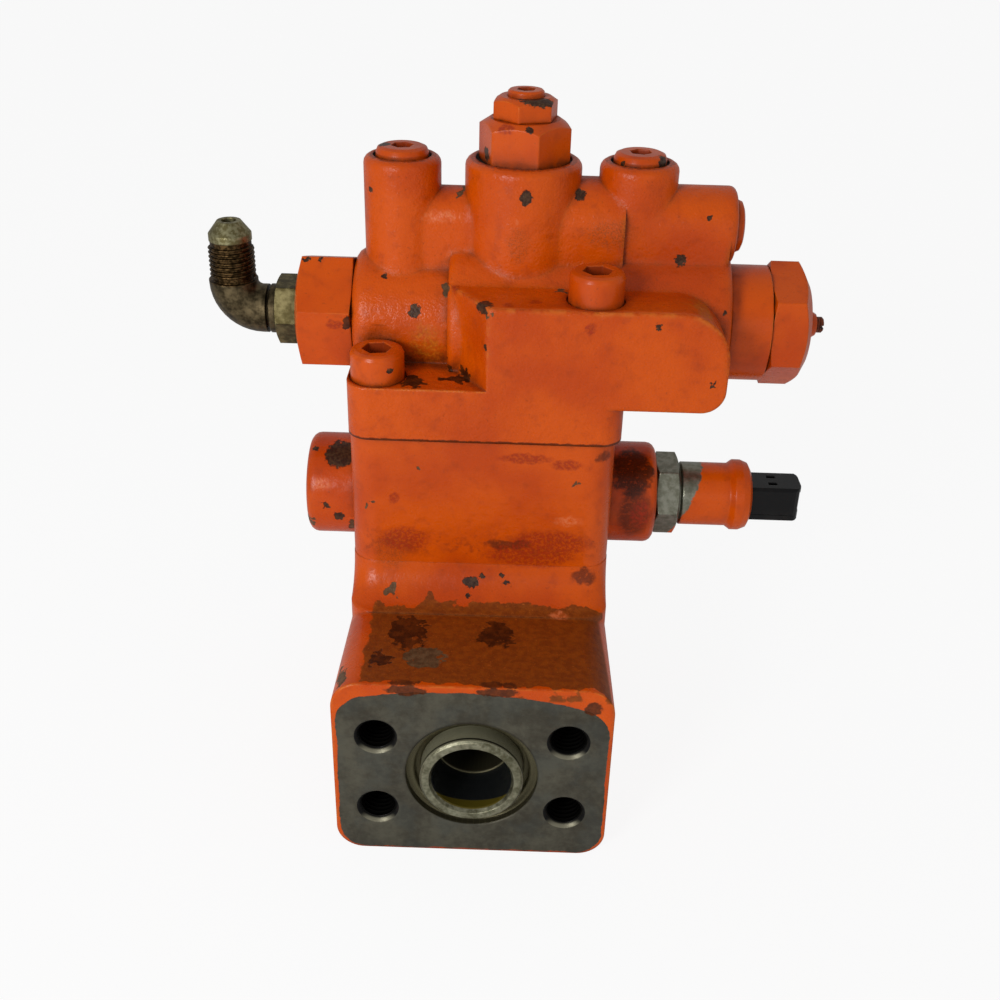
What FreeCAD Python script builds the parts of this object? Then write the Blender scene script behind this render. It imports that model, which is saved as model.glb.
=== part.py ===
import FreeCAD, Part
import math
import os
import re
import Sketcher

# A two-block hose rupture valve, in millimetres.
# Origin: centre of the hose port, on its flange face. +X is right, +Y goes into the block, +Z is up.
# The lower block carries both large ports; the upper block holds the poppets and their adjusters.

Vector = FreeCAD.Vector
Rotation = FreeCAD.Rotation

document = FreeCAD.newDocument("hose_rupture_valve")
sheet = document.addObject("Spreadsheet::Sheet", "Sizes")

# Driving dimensions: name, value, meaning
SIZES = [
    # Ports and their flanges
    ("port_bore", 23.8, "bore of the hose port sleeve and of the cylinder port"),
    ("hose_drill", 22.8, "drilling behind the hose port sleeve"),
    ("flange_pitch_long", 57.15, "bolt pitch of a port flange, long way"),
    ("flange_pitch_short", 27.76, "bolt pitch of a port flange, short way"),
    ("flange_tap", 10.5, "hole of an M12 flange thread"),
    ("flange_tap_mouth", 13.0, "countersunk mouth of a flange thread"),
    ("flange_tap_depth", 26.0, "depth of the hose side threads"),
    ("rear_tap_depth", 18.0, "depth of the cylinder side threads"),
    ("sleeve_outer", 31.0, "outside of the hose port sleeve"),
    ("sleeve_depth", 14.0, "how deep the sleeve sits in the flange"),
    ("sleeve_stand", 2.8, "how far the sleeve stands out of the flange face"),
    ("recess_outer", 40.0, "outside of the ring recess round the sleeve"),
    ("recess_depth", 2.4, "depth of the ring recess"),
    ("gland_outer", 35.0, "outside of the deeper gland inside the recess"),
    ("gland_depth", 4.6, "depth of the gland"),
    # Lower block
    ("foot_half_width", 41.5, "half width of the foot at the flange face"),
    ("foot_top", 33.4, "top of the foot at the flange face"),
    ("foot_bottom", 30.8, "depth of the foot below the port axis"),
    ("foot_draft_side", 0.4, "how much each side of the foot draws in towards the column"),
    ("foot_draft_top", 2.6, "how much the top of the foot falls towards the column"),
    ("foot_corner", 8.5, "radius of the foot's four long edges"),
    ("foot_fillet", 14.0, "concave radius between the foot and the column"),
    ("column_half_width", 40.8, "half width of the column"),
    ("column_front", 50.0, "front of the column, from the flange face"),
    ("root_stand", 0.12, "how far the column's root stands out at each side"),
    ("column_edge", 8.0, "radius of the column's upright edges"),
    ("seam_height", 87.2, "height of the joint between the two blocks"),
    ("side_boss_radius", 17.0, "radius of the two lower side bosses"),
    ("side_boss_height", 51.6, "height of the lower side bosses"),
    ("side_boss_left", 58.6, "reach of the left boss"),
    ("side_boss_right", 57.5, "reach of the right boss"),
    ("side_boss_rim", 3.0, "rounding of the side boss rims"),
    ("rear_port_side", 16.0, "sideways place of the cylinder port"),
    ("rear_port_height", 32.0, "height of the cylinder port"),
    # Passages through both blocks
    ("axis_depth", 86.5, "depth of the main bore, the bosses and the passages"),
    ("passage_bore", 17.0, "bore of the two upright passages"),
    ("passage_offset", 13.0, "distance of each passage from the middle"),
    ("hose_drill_end", 98.0, "end of the hose port drilling"),
    ("rear_drill_end", 80.0, "end of the cylinder port drilling"),
    # Upper block
    ("slab_left", 41.0, "reach of the upper block's slab to the left"),
    ("slab_right", 42.3, "reach of the slab to the right"),
    ("slab_front", 49.0, "front of the slab and of the front block"),
    ("slab_thickness", 17.0, "thickness of the slab"),
    ("slab_corner", 7.0, "radius of the slab's upright corners"),
    ("front_block_left", 1.0, "left edge of the front block"),
    ("front_block_right", 71.2, "right end of the front block"),
    ("front_block_round", 15.0, "radius of the upper right corner of the front block"),
    ("front_block_lower_round", 7.0, "radius of its lower right corner"),
    ("main_floor", 1.7, "thickness of the slab under the main body"),
    ("main_height", "seam_height + main_floor + main_large_radius", "height of the main bore"),
    ("front_block_rise", 16.1, "top of the front block above the main bore"),
    ("front_block_drop", 14.5, "underside of the front block's overhang below the main bore"),
    ("front_block_top", "main_height + front_block_rise", "top of the front block"),
    ("front_block_bottom", "main_height - front_block_drop", "underside of its overhang"),
    ("main_left", 41.0, "reach of the main body to the left"),
    ("main_right", 73.2, "reach of the main body to the right"),
    ("main_small_radius", 20.0, "radius of the left part of the main body"),
    ("main_large_radius", 25.0, "radius of the right part of the main body"),
    ("main_step", 11.5, "place of the step between the two radii, left of the middle"),
    ("main_left_rim", 4.0, "rounding of the left end of the main body"),
    ("main_rim", 2.0, "rounding of the step and of the right end"),
    ("left_boss_place", 26.2, "sideways place of the left boss, left of the middle"),
    ("left_boss_radius", 11.6, "radius of the left boss"),
    ("centre_boss_place", 9.9, "sideways place of the centre boss"),
    ("centre_boss_radius", 17.4, "radius of the centre boss"),
    ("right_boss_place", 44.3, "sideways place of the right boss"),
    ("right_boss_radius", 11.8, "radius of the right boss"),
    ("boss_rim", 2.4, "rounding of the boss rims"),
    ("gallery_rise", 30.9, "height of the drilled gallery above the main bore"),
    ("gallery_height", "main_height + gallery_rise", "height of the drilled gallery"),
    ("boss_rise", 18.7, "height of the machined boss rims above the gallery"),
    ("boss_top", "gallery_height + boss_rise", "height of the three machined boss rims"),
    ("gallery_left_radius", 9.6, "radius of the gallery casting left of the centre boss"),
    ("gallery_mid_radius", 13.4, "radius of the gallery casting between centre and right boss"),
    ("gallery_right_radius", 11.8, "radius of the gallery casting at its right end"),
    ("gallery_mid_end", 4.1,
     "where the thick middle of the gallery ends, left of the right boss's axis"),
    ("gallery_right", 73.9, "reach of the gallery casting to the right"),
    ("gallery_bore", 6.0, "bore of the gallery and of the short drillings"),
    # Cap screws
    ("screw_diameter", 10.0, "thread of the cap screws"),
    ("screw_head", 16.2, "head of the cap screws"),
    ("screw_head_height", 10.0, "head height of the cap screws"),
    ("screw_socket", 8.0, "hexagon socket of the cap screws"),
    ("screw_socket_depth", 5.0, "depth of that socket"),
    ("screw_place", 32.0, "sideways distance of the cap screws from the middle"),
    ("screw_front", 58.5, "depth of the front pair of cap screws"),
    ("screw_bite", 18.5, "length of thread in the lower block"),
    ("screw_hole_gap", 0.5, "radial clearance of the screw holes in the upper block"),
    ("spotface", 17.4, "spotface under a cap screw head"),
    ("spotface_depth", 1.0, "depth of the spotfaces"),
    # Fits
    ("running_gap", 0.03, "radial clearance of a sliding or turning fit"),
    ("seat_gap", 0.05, "clearance of a fixed fit, a thread at its full size included"),
    # Main poppet, its seat, spring and cap
    ("poppet_diameter", 24.0, "guide diameter of the main poppet"),
    ("poppet_neck", 20.0, "diameter of the poppet ahead of its guide"),
    ("seat_bore", 14.0, "bore of the poppet seat"),
    ("seat_half_length", 4.0, "half length of the poppet seat"),
    ("poppet_nose", 9.8, "flat on the nose of the poppet"),
    ("poppet_guide_start", 24.0, "start of the poppet's guide"),
    ("poppet_end", 50.0, "right end of the poppet"),
    ("poppet_pocket", 16.0, "spring pocket in the poppet"),
    ("poppet_pocket_end", 30.0, "bottom of that pocket, from the middle"),
    ("cap_thread", 30.0, "thread of the spring cap"),
    ("cap_thread_length", 16.5, "length of that thread"),
    ("cap_round", 36.0, "round part of the spring cap"),
    ("cap_round_end", 86.6, "right end of the round part"),
    ("cap_hexagon", 34.0, "across flats of the spring cap"),
    ("cap_end", 99.4, "right end of the spring cap"),
    ("cap_pocket", 16.0, "spring pocket in the cap"),
    ("cap_pocket_end", 80.0, "bottom of that pocket, from the middle"),
    ("cap_dome", 4.0, "length of the chamfer on the cap's end"),
    ("cap_nose_diameter", 11.6, "cone round the bleed screw"),
    ("cap_nose_length", 4.0, "length of that cone"),
    ("bleed_diameter", 5.0, "thread of the bleed screw"),
    ("bleed_length", 18.0, "length of the bleed screw"),
    ("bleed_stand", 6.5, "how far the bleed screw stands out"),
    ("main_wire", 2.2, "wire of the main spring"),
    ("main_coils", 7.0, "coils of the main spring"),
    # Pilot side
    ("adapter_thread", 24.0, "thread of the pilot adapter"),
    ("adapter_hexagon", 33.0, "across flats of the pilot adapter"),
    ("adapter_hexagon_length", 17.8, "length of its hexagon"),
    ("adapter_thread_length", 16.0, "length of its thread"),
    ("adapter_chamfer", 1.8, "length of the chamfer on its outer end"),
    ("piston_diameter", 14.0, "diameter of the pilot piston"),
    ("piston_length", 9.0, "length of the pilot piston's head"),
    ("piston_stem", 6.0, "stem of the pilot piston"),
    ("piston_rest", 39.5, "right face of the piston's head at rest, left of the middle"),
    ("stem_end_gap", 0.4, "gap between the stem and the poppet at rest"),
    ("adapter_wall", 2.6, "wall that guides the stem"),
    ("pilot_wire", 1.1, "wire of the pilot return spring"),
    ("pilot_coils", 4.0, "coils of the pilot return spring"),
    ("elbow_thread", 11.1, "thread of the elbow in the adapter"),
    ("elbow_thread_length", 9.0, "length of that thread"),
    ("elbow_body", 15.2, "diameter of the elbow's forging"),
    ("elbow_bend", 8.8, "centre line radius of the elbow"),
    ("elbow_place", 79.7, "sideways place of the upright leg, left of the middle"),
    ("elbow_bore", 4.6, "bore of the elbow"),
    ("elbow_neck", 0.7, "straight part between the bend and the flare thread"),
    ("elbow_shoulder", 1.8, "straight part of the forging beyond the bend on the level leg"),
    ("elbow_collar", 15.4, "collar of the elbow's horizontal leg"),
    ("elbow_collar_length", 1.9, "length of that collar"),
    ("flare_thread", 14.2, "thread of the flare end"),
    ("flare_thread_start", "main_height + elbow_bend + elbow_neck", "foot of the flare thread"),
    ("flare_thread_length", 12.5, "length of the flare thread"),
    ("flare_neck", 13.2, "neck above the thread"),
    ("flare_neck_length", 2.1, "length of that neck"),
    ("flare_nose", 7.4, "nose of the flare cone"),
    ("locknut_hexagon", 19.0, "across flats of the elbow's locknut"),
    ("locknut_length", 7.2, "length of the locknut"),
    # Relief cartridge
    ("cartridge_hexagon", 24.0, "across flats of the relief cartridge"),
    ("cartridge_rise", 11.5, "top of the cartridge's hexagon above its boss"),
    ("cartridge_top", "boss_top + cartridge_rise", "top of the cartridge's hexagon"),
    ("cartridge_thread", 22.0, "thread of the cartridge"),
    ("cartridge_thread_length", 11.5, "length of that thread below the boss"),
    ("cartridge_thread_end", "boss_top - cartridge_thread_length", "foot of that thread"),
    ("cartridge_nose", 16.0, "nose of the cartridge"),
    ("cartridge_reach", 8.3, "how far the nose reaches below the gallery"),
    ("cartridge_foot", "gallery_height - cartridge_reach", "foot of the nose"),
    ("cartridge_bore", 11.0, "spring chamber in the cartridge"),
    ("cartridge_floor", 3.5, "floor of the spring chamber"),
    ("relief_seat_bore", 5.0, "seat hole in that floor"),
    ("relief_poppet_diameter", 8.0, "body of the relief poppet"),
    ("relief_poppet_length", 7.0, "length of the relief poppet"),
    ("relief_wire", 1.4, "wire of the relief spring"),
    ("relief_coils", 4.0, "coils of the relief spring"),
    ("spring_seat_thickness", 2.5, "thickness of the relief spring's upper seat"),
    ("adjuster_travel", 1.5, "travel of the adjusting screw each way"),
    ("adjuster_diameter", 10.6, "thread of the adjusting screw"),
    ("adjuster_stand", 8.0, "how far the adjusting screw stands above the cartridge"),
    ("adjuster_top", "cartridge_top + adjuster_stand", "top of the adjusting screw"),
    ("adjuster_length", 22.0, "length of the adjusting screw"),
    ("adjuster_socket", 5.0, "hexagon socket of the adjusting screw"),
    ("jam_nut_hexagon", 17.0, "across flats of the jam nut"),
    ("jam_nut_height", 6.2, "height of the jam nut"),
    # Plugs
    ("plug_thread", 13.0, "thread of the gallery plugs"),
    ("plug_thread_length", 9.0, "length of that thread"),
    ("plug_flange", 15.8, "flange of the gallery plugs"),
    ("plug_stand", 2.6, "how far a plug's flange stands above its boss"),
    ("plug_recess", 17.6, "recess round a plug's flange"),
    ("plug_recess_depth", 1.2, "depth of that recess"),
    ("plug_socket", 6.0, "hexagon socket of the plugs"),
    ("plug_socket_depth", 2.4, "depth of that socket"),
    ("test_plug_thread", 14.0, "thread of the test port plug"),
    ("test_plug_flange", 19.0, "flange of the test port plug"),
    ("test_plug_flange_length", 3.2, "thickness of that flange"),
    # Pressure sensor
    ("sensor_thread", 14.0, "thread of the sensor"),
    ("sensor_thread_length", 11.0, "length of that thread"),
    ("sensor_hexagon", 24.0, "across flats of the sensor"),
    ("sensor_hexagon_end", 65.5, "right end of the sensor's hexagon"),
    ("sensor_body", 21.4, "diameter of the sensor's body"),
    ("sensor_body_end", 82.4, "right end of the plain body"),
    ("sensor_crimp", 24.0, "diameter of the crimped rim"),
    ("sensor_crimp_end", 90.0, "right end of the crimped rim"),
    ("connector_end", 107.0, "right end of the connector"),
    ("connector_width", 13.0, "width of the connector, front to back"),
    ("connector_height", 10.6, "height of the connector"),
    ("connector_round", 3.4, "radius of the connector's corners at its mouth, seen from above"),
    ("connector_lift", 0.5, "how far the connector's middle lies above the sensor's axis"),
    ("connector_wall", 1.6, "wall of the connector's shroud"),
    ("connector_pocket", 11.0, "depth of the connector's shroud"),
    ("pin_width", 2.2, "width of a connector pin"),
    ("pin_thickness", 0.8, "thickness of a connector pin"),
    ("pin_pitch", 4.0, "pitch of the connector pins"),
    ("pin_length", 5.4, "free length of a connector pin"),
    # Seals
    ("interface_seal_wire", 2.6, "section of the seals between the blocks"),
    ("plug_seal_wire", 1.5, "section of the plug seals"),
    ("cap_seal_wire", 2.0, "section of the spring cap's seal"),
    ("adapter_seal_wire", 2.0, "section of the pilot adapter's seal"),
    ("cartridge_seal_wire", 1.8, "section of the relief cartridge's seal"),
    ("elbow_seal_wire", 1.6, "section of the elbow's seal"),
    ("seal_bottom_gap", 0.1, "room round a seal in its groove"),
]

NAMES = {name for name, size, meaning in SIZES}
for row, (name, size, meaning) in enumerate(SIZES, start=1):
    sheet.set(f"A{row}", meaning)
    sheet.set(f"B{row}", f"={size}")
    sheet.setAlias(f"B{row}", name)
document.recompute()


def formula(text):
    """An expression in which each size's name points to its cell."""
    return re.sub(r"[a-z_]+", lambda word: f"Sizes.{word[0]}" if word[0] in NAMES else word[0], text)


def size(name):
    return float(sheet.get(name))


def tie(thing, properties):
    """Bind properties of an object to formulas of the sheet's sizes."""
    for path, text in properties.items():
        thing.setExpression(path, formula(text))


def put(thing, at, turn=None):
    """Place an object at a point given by three formulas, with an optional turn."""
    thing.Placement = FreeCAD.Placement(Vector(), turn or Rotation())
    tie(thing, {f"Placement.Base.{axis}": text for axis, text in zip("xyz", at)})


# Turns that lay a piece's own upright axis along X or Y
ALONG = {
    "x": Rotation(Vector(0, 1, 0), 90),
    "-x": Rotation(Vector(0, 1, 0), -90),
    "y": Rotation(Vector(1, 0, 0), -90),
    "-y": Rotation(Vector(1, 0, 0), 90),
    "z": Rotation(),
}


def new_body(label):
    body = document.addObject("PartDesign::Body", label)
    body.Label = label
    return body


def solid(body, kind, name, cut, properties, at, along="z", spin=0):
    """A box, cylinder, cone or prism that is added to a body or cut from it."""
    feature = body.newObject(f"PartDesign::{'Subtractive' if cut else 'Additive'}{kind}", name)
    tie(feature, properties)
    put(feature, at, ALONG[along] * Rotation(Vector(0, 0, 1), spin))
    return feature


def cylinder(body, name, diameter, length, at, along="z", cut=False):
    return solid(body, "Cylinder", name, cut, {"Radius": f"({diameter}) / 2", "Height": length}, at,
                 along)


def cone(body, name, start, end, length, at, along="z", cut=False):
    properties = {"Radius1": f"({start}) / 2", "Radius2": f"({end}) / 2", "Height": length}
    return solid(body, "Cone", name, cut, properties, at, along)


def box(body, name, lengths, at, cut=False):
    properties = dict(zip(("Length", "Width", "Height"), lengths))
    return solid(body, "Box", name, cut, properties, at)


def hexagon(body, name, across_flats, length, at, along="z", spin=0, cut=False):
    properties = {"Circumradius": f"({across_flats}) / sqrt(3)", "Height": length}
    prism = solid(body, "Prism", name, cut, properties, at, along, spin)
    prism.Polygon = 6
    return prism


def outline(body, name, plane, points, offset="0", up="0", over="0"):
    """A closed sketch of straight lines; each corner is tied to two formulas."""
    sketch = body.newObject("Sketcher::SketchObject", name)
    support = [item for item in body.Origin.OriginFeatures if item.Role == plane][0]
    sketch.AttachmentSupport = [(support, "")]
    sketch.MapMode = "FlatFace"
    tie(sketch, {"AttachmentOffset.Base.x": over, "AttachmentOffset.Base.y": up,
                 "AttachmentOffset.Base.z": offset})
    count = len(points)
    start = [Rotation(Vector(0, 0, 1),
                      360 * index / count).multVec(Vector(30, 0, 0)) for index in range(count)]
    for index in range(count):
        sketch.addGeometry(Part.LineSegment(start[index], start[(index + 1) % count]), False)
    for index in range(count):
        sketch.addConstraint(Sketcher.Constraint("Coincident", index, 2, (index + 1) % count, 1))
    for index, corner in enumerate(points):
        for kind, text, place in zip(("DistanceX", "DistanceY"), corner, start[index]):
            number = sketch.addConstraint(Sketcher.Constraint(kind, -1, 1, index, 1, place))
            sketch.renameConstraint(number, f"corner_{index}_{kind[-1]}")
            sketch.setExpression(f"Constraints.corner_{index}_{kind[-1]}", formula(text))
    return sketch


def circles(body, name, plane, rings, offset="0"):
    """A sketch of circles, each with formulas for its centre and diameter."""
    sketch = body.newObject("Sketcher::SketchObject", name)
    support = [item for item in body.Origin.OriginFeatures if item.Role == plane][0]
    sketch.AttachmentSupport = [(support, "")]
    sketch.MapMode = "FlatFace"
    tie(sketch, {"AttachmentOffset.Base.z": offset})
    for index, (across, up, diameter) in enumerate(rings):
        sketch.addGeometry(Part.Circle(Vector(10 + 30 * index, 10, 0), Vector(0, 0, 1), 5), False)
        for kind, text, place in (("DistanceX", across, 10 + 30 * index), ("DistanceY", up, 10)):
            number = sketch.addConstraint(Sketcher.Constraint(kind, -1, 1, index, 3, place))
            sketch.renameConstraint(number, f"centre_{index}_{kind[-1]}")
            sketch.setExpression(f"Constraints.centre_{index}_{kind[-1]}", formula(text))
        number = sketch.addConstraint(Sketcher.Constraint("Diameter", index, 10))
        sketch.renameConstraint(number, f"diameter_{index}")
        sketch.setExpression(f"Constraints.diameter_{index}", formula(diameter))
    return sketch


def rounded(body, name, plane, half_width, low, high, radius, offset="0"):
    """A sketch of a rectangle, centred sideways, with four rounded corners."""
    sketch = body.newObject("Sketcher::SketchObject", name)
    support = [item for item in body.Origin.OriginFeatures if item.Role == plane][0]
    sketch.AttachmentSupport = [(support, "")]
    sketch.MapMode = "FlatFace"
    tie(sketch, {"AttachmentOffset.Base.z": offset})
    corners = [(-1, -1), (1, -1), (1, 1), (-1, 1)]
    quarter = math.pi / 2
    for index, (side, level) in enumerate(corners):
        circle = Part.Circle(Vector(side * 20, level * 20, 0), Vector(0, 0, 1), 10)
        sketch.addGeometry(Part.ArcOfCircle(circle, (index + 2) * quarter, (index + 3) * quarter),
                           False)
    for index, (side, level) in enumerate(corners):
        wide = f"{side} * (({half_width}) - ({radius}))"
        tall = f"({low if level < 0 else high}) - {level} * ({radius})"
        ties = (("DistanceX", wide, side * 20), ("DistanceY", tall, level * 20))
        for kind, text, place in ties:
            number = sketch.addConstraint(Sketcher.Constraint(kind, -1, 1, index, 3, place))
            sketch.renameConstraint(number, f"centre_{index}_{kind[-1]}")
            sketch.setExpression(f"Constraints.centre_{index}_{kind[-1]}", formula(text))
        number = sketch.addConstraint(Sketcher.Constraint("Radius", index, 10))
        sketch.renameConstraint(number, f"radius_{index}")
        sketch.setExpression(f"Constraints.radius_{index}", formula(radius))
        # an arc starts or ends level with its centre, and ends or starts straight above or below it
        first, last = ("Horizontal", "Vertical") if index % 2 == 0 else ("Vertical", "Horizontal")
        sketch.addConstraint(Sketcher.Constraint(first, index, 1, index, 3))
        sketch.addConstraint(Sketcher.Constraint(last, index, 2, index, 3))
    for index in range(4):
        after = (index + 1) % 4
        sketch.addGeometry(Part.LineSegment(Vector(index, 0, 0), Vector(index, 5, 0)), False)
        sketch.addConstraint(Sketcher.Constraint("Coincident", index, 2, 4 + index, 1))
        sketch.addConstraint(Sketcher.Constraint("Coincident", 4 + index, 2, after, 1))
    return sketch


def pad(body, name, sketch, length, backwards=False):
    feature = body.newObject("PartDesign::Pad", name)
    feature.Profile = sketch
    feature.Reversed = backwards
    tie(feature, {"Length": length})
    return feature


def pocket(body, name, sketch, length, backwards=False):
    feature = body.newObject("PartDesign::Pocket", name)
    feature.Profile = sketch
    feature.Reversed = backwards
    tie(feature, {"Length": length})
    return feature


def revolve(body, name, points, cut=False):
    """Turn an outline of (radius, height) corners about the body's own upright axis."""
    sketch = outline(body, f"{name}_outline", "XZ_Plane", points)
    feature = body.newObject(f"PartDesign::{'Groove' if cut else 'Revolution'}", name)
    feature.Profile = sketch
    feature.ReferenceAxis = (sketch, ["V_Axis"])
    feature.Angle = 360
    return feature


def rounding(along, out, radius, first, last):
    """Corners of an outline along a quarter round, given its centre, radius and first and last angle."""
    count = 5
    angles = [first + (last - first) * index / (count - 1) for index in range(count)]
    return [(f"{along} + {radius} * cos({angle})",
             f"{out} + {radius} * sin({angle})") for angle in angles]


def lying_turn(body, name, points, height, cut=False):
    """Turn an outline of (place along X, radius) corners about the lying axis at a height."""
    sketch = outline(body, f"{name}_outline", "XZ_Plane", points, "-axis_depth", height)
    feature = body.newObject(f"PartDesign::{'Groove' if cut else 'Revolution'}", name)
    feature.Profile = sketch
    feature.ReferenceAxis = (sketch, ["H_Axis"])
    feature.Angle = 360
    return feature


def standing_turn(body, name, points, place):
    """Turn an outline of (radius, height) corners about the upright axis at a place along X."""
    sketch = outline(body, f"{name}_outline", "XZ_Plane", points, "-axis_depth", over=place)
    feature = body.newObject("PartDesign::Revolution", name)
    feature.Profile = sketch
    feature.ReferenceAxis = (sketch, ["V_Axis"])
    feature.Angle = 360
    return feature


def turned(label, points, at, along="z"):
    """A turned piece: its outline, revolved, on the axis through a point."""
    body = new_body(label)
    revolve(body, f"{label}_turning", points)
    put(body, at, ALONG[along])
    return body


def chamfered_hexagon(body, name, across_flats, length, start, spin, chamfer="0.8", both=False,
                      flat="0.475"):
    """A hexagon from a height upwards, with its corners turned off at the top, and the foot if asked."""
    hexagon(body, name, across_flats, length, ("0", "0", start), spin=spin)
    reach = f"({across_flats}) * 0.62"
    inner = f"({across_flats}) * {flat}"
    top = f"({start}) + ({length})"
    ring = [(inner, top), (reach, f"{top} - ({chamfer})"), (reach, f"{top} + 1"), (inner, f"{top} + 1")]
    revolve(body, f"{name}_upper_chamfer", ring, cut=True)
    if both:
        ring = [(inner, start), (inner, f"{start} - 1"), (reach, f"{start} - 1"),
                (reach, f"{start} + ({chamfer})")]
        revolve(body, f"{name}_lower_chamfer", ring, cut=True)


def soften(body, name, radius, wanted, kind="Fillet"):
    """Round or chamfer those edges of a body's last feature that a test picks out."""
    document.recompute()
    base = body.Tip
    names = [f"Edge{number}" for number, edge in enumerate(base.Shape.Edges, start=1) if wanted(edge)]
    if not names:
        raise RuntimeError(f"{name}: no edge to soften")
    feature = body.newObject(f"PartDesign::{kind}", name)
    feature.Base = (base, names)
    tie(feature, {"Radius" if kind == "Fillet" else "Size": radius})
    return feature


def near(first, second):
    return abs(first - second) < 0.03


def spans(edge):
    """The three extents of an edge."""
    extent = edge.BoundBox
    return [extent.XLength, extent.YLength, extent.ZLength]


def rim(edge, axis, place, diameter):
    """True for a round edge of a diameter, square to an axis, at a place on it."""
    index = "xyz".index(axis)
    reach = spans(edge)
    flat = reach.pop(index)
    round_size = near(max(reach), diameter) and min(reach) > 0.1
    return flat < 0.01 and near(middle(edge)[index], place) and round_size


def straight(edge, axis):
    """True for a straight edge along an axis."""
    reach = spans(edge)
    along = reach.pop("xyz".index(axis))
    return max(reach) < 0.01 < along


def middle(edge):
    return edge.CenterOfMass


def ring(label, mean_radius, wire_radius, at, along="z"):
    """A round sealing ring."""
    seal = document.addObject("Part::Torus", label)
    seal.Label = label
    tie(seal, {"Radius1": mean_radius, "Radius2": wire_radius})
    put(seal, at, ALONG[along])
    return seal


def group(label, members):
    compound = document.addObject("Part::Compound", label)
    compound.Label = label
    compound.Links = members
    return compound


def coil(label, mean_radius, wire, length, turns, at, along="z"):
    """A compression spring between two seats that lie a length apart."""
    helix = document.addObject("Part::Helix", f"{label}_path")
    free = f"({length}) - ({wire}) - 2 * seat_gap"
    tie(helix, {"Pitch": f"({free}) / ({turns})", "Height": free, "Radius": mean_radius})
    section = document.addObject("Part::Circle", f"{label}_section")
    tie(section, {"Radius": f"({wire}) / 2"})
    put(section, (mean_radius, "0", "0"), Rotation(Vector(1, 0, 0), 90))
    spring = document.addObject("Part::Sweep", label)
    spring.Label = label
    spring.Sections = [section]
    spring.Spine = helix
    spring.Solid = True
    spring.Frenet = True
    # the seat's face lies half a wire and a fit's gap before the first coil
    shift = f"({wire}) / 2 + seat_gap"
    x, y, z = at
    moved = (f"{x} + {shift}", y, z) if along == "x" else (x, y, f"{z} + {shift}")
    put(spring, moved, ALONG[along])
    return spring


DEEP = "axis_depth"
BLOCK_REAR = "2 * axis_depth - column_front"
SLAB_REAR = "2 * axis_depth - slab_front"
SLAB_TOP = "seam_height + slab_thickness"


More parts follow.
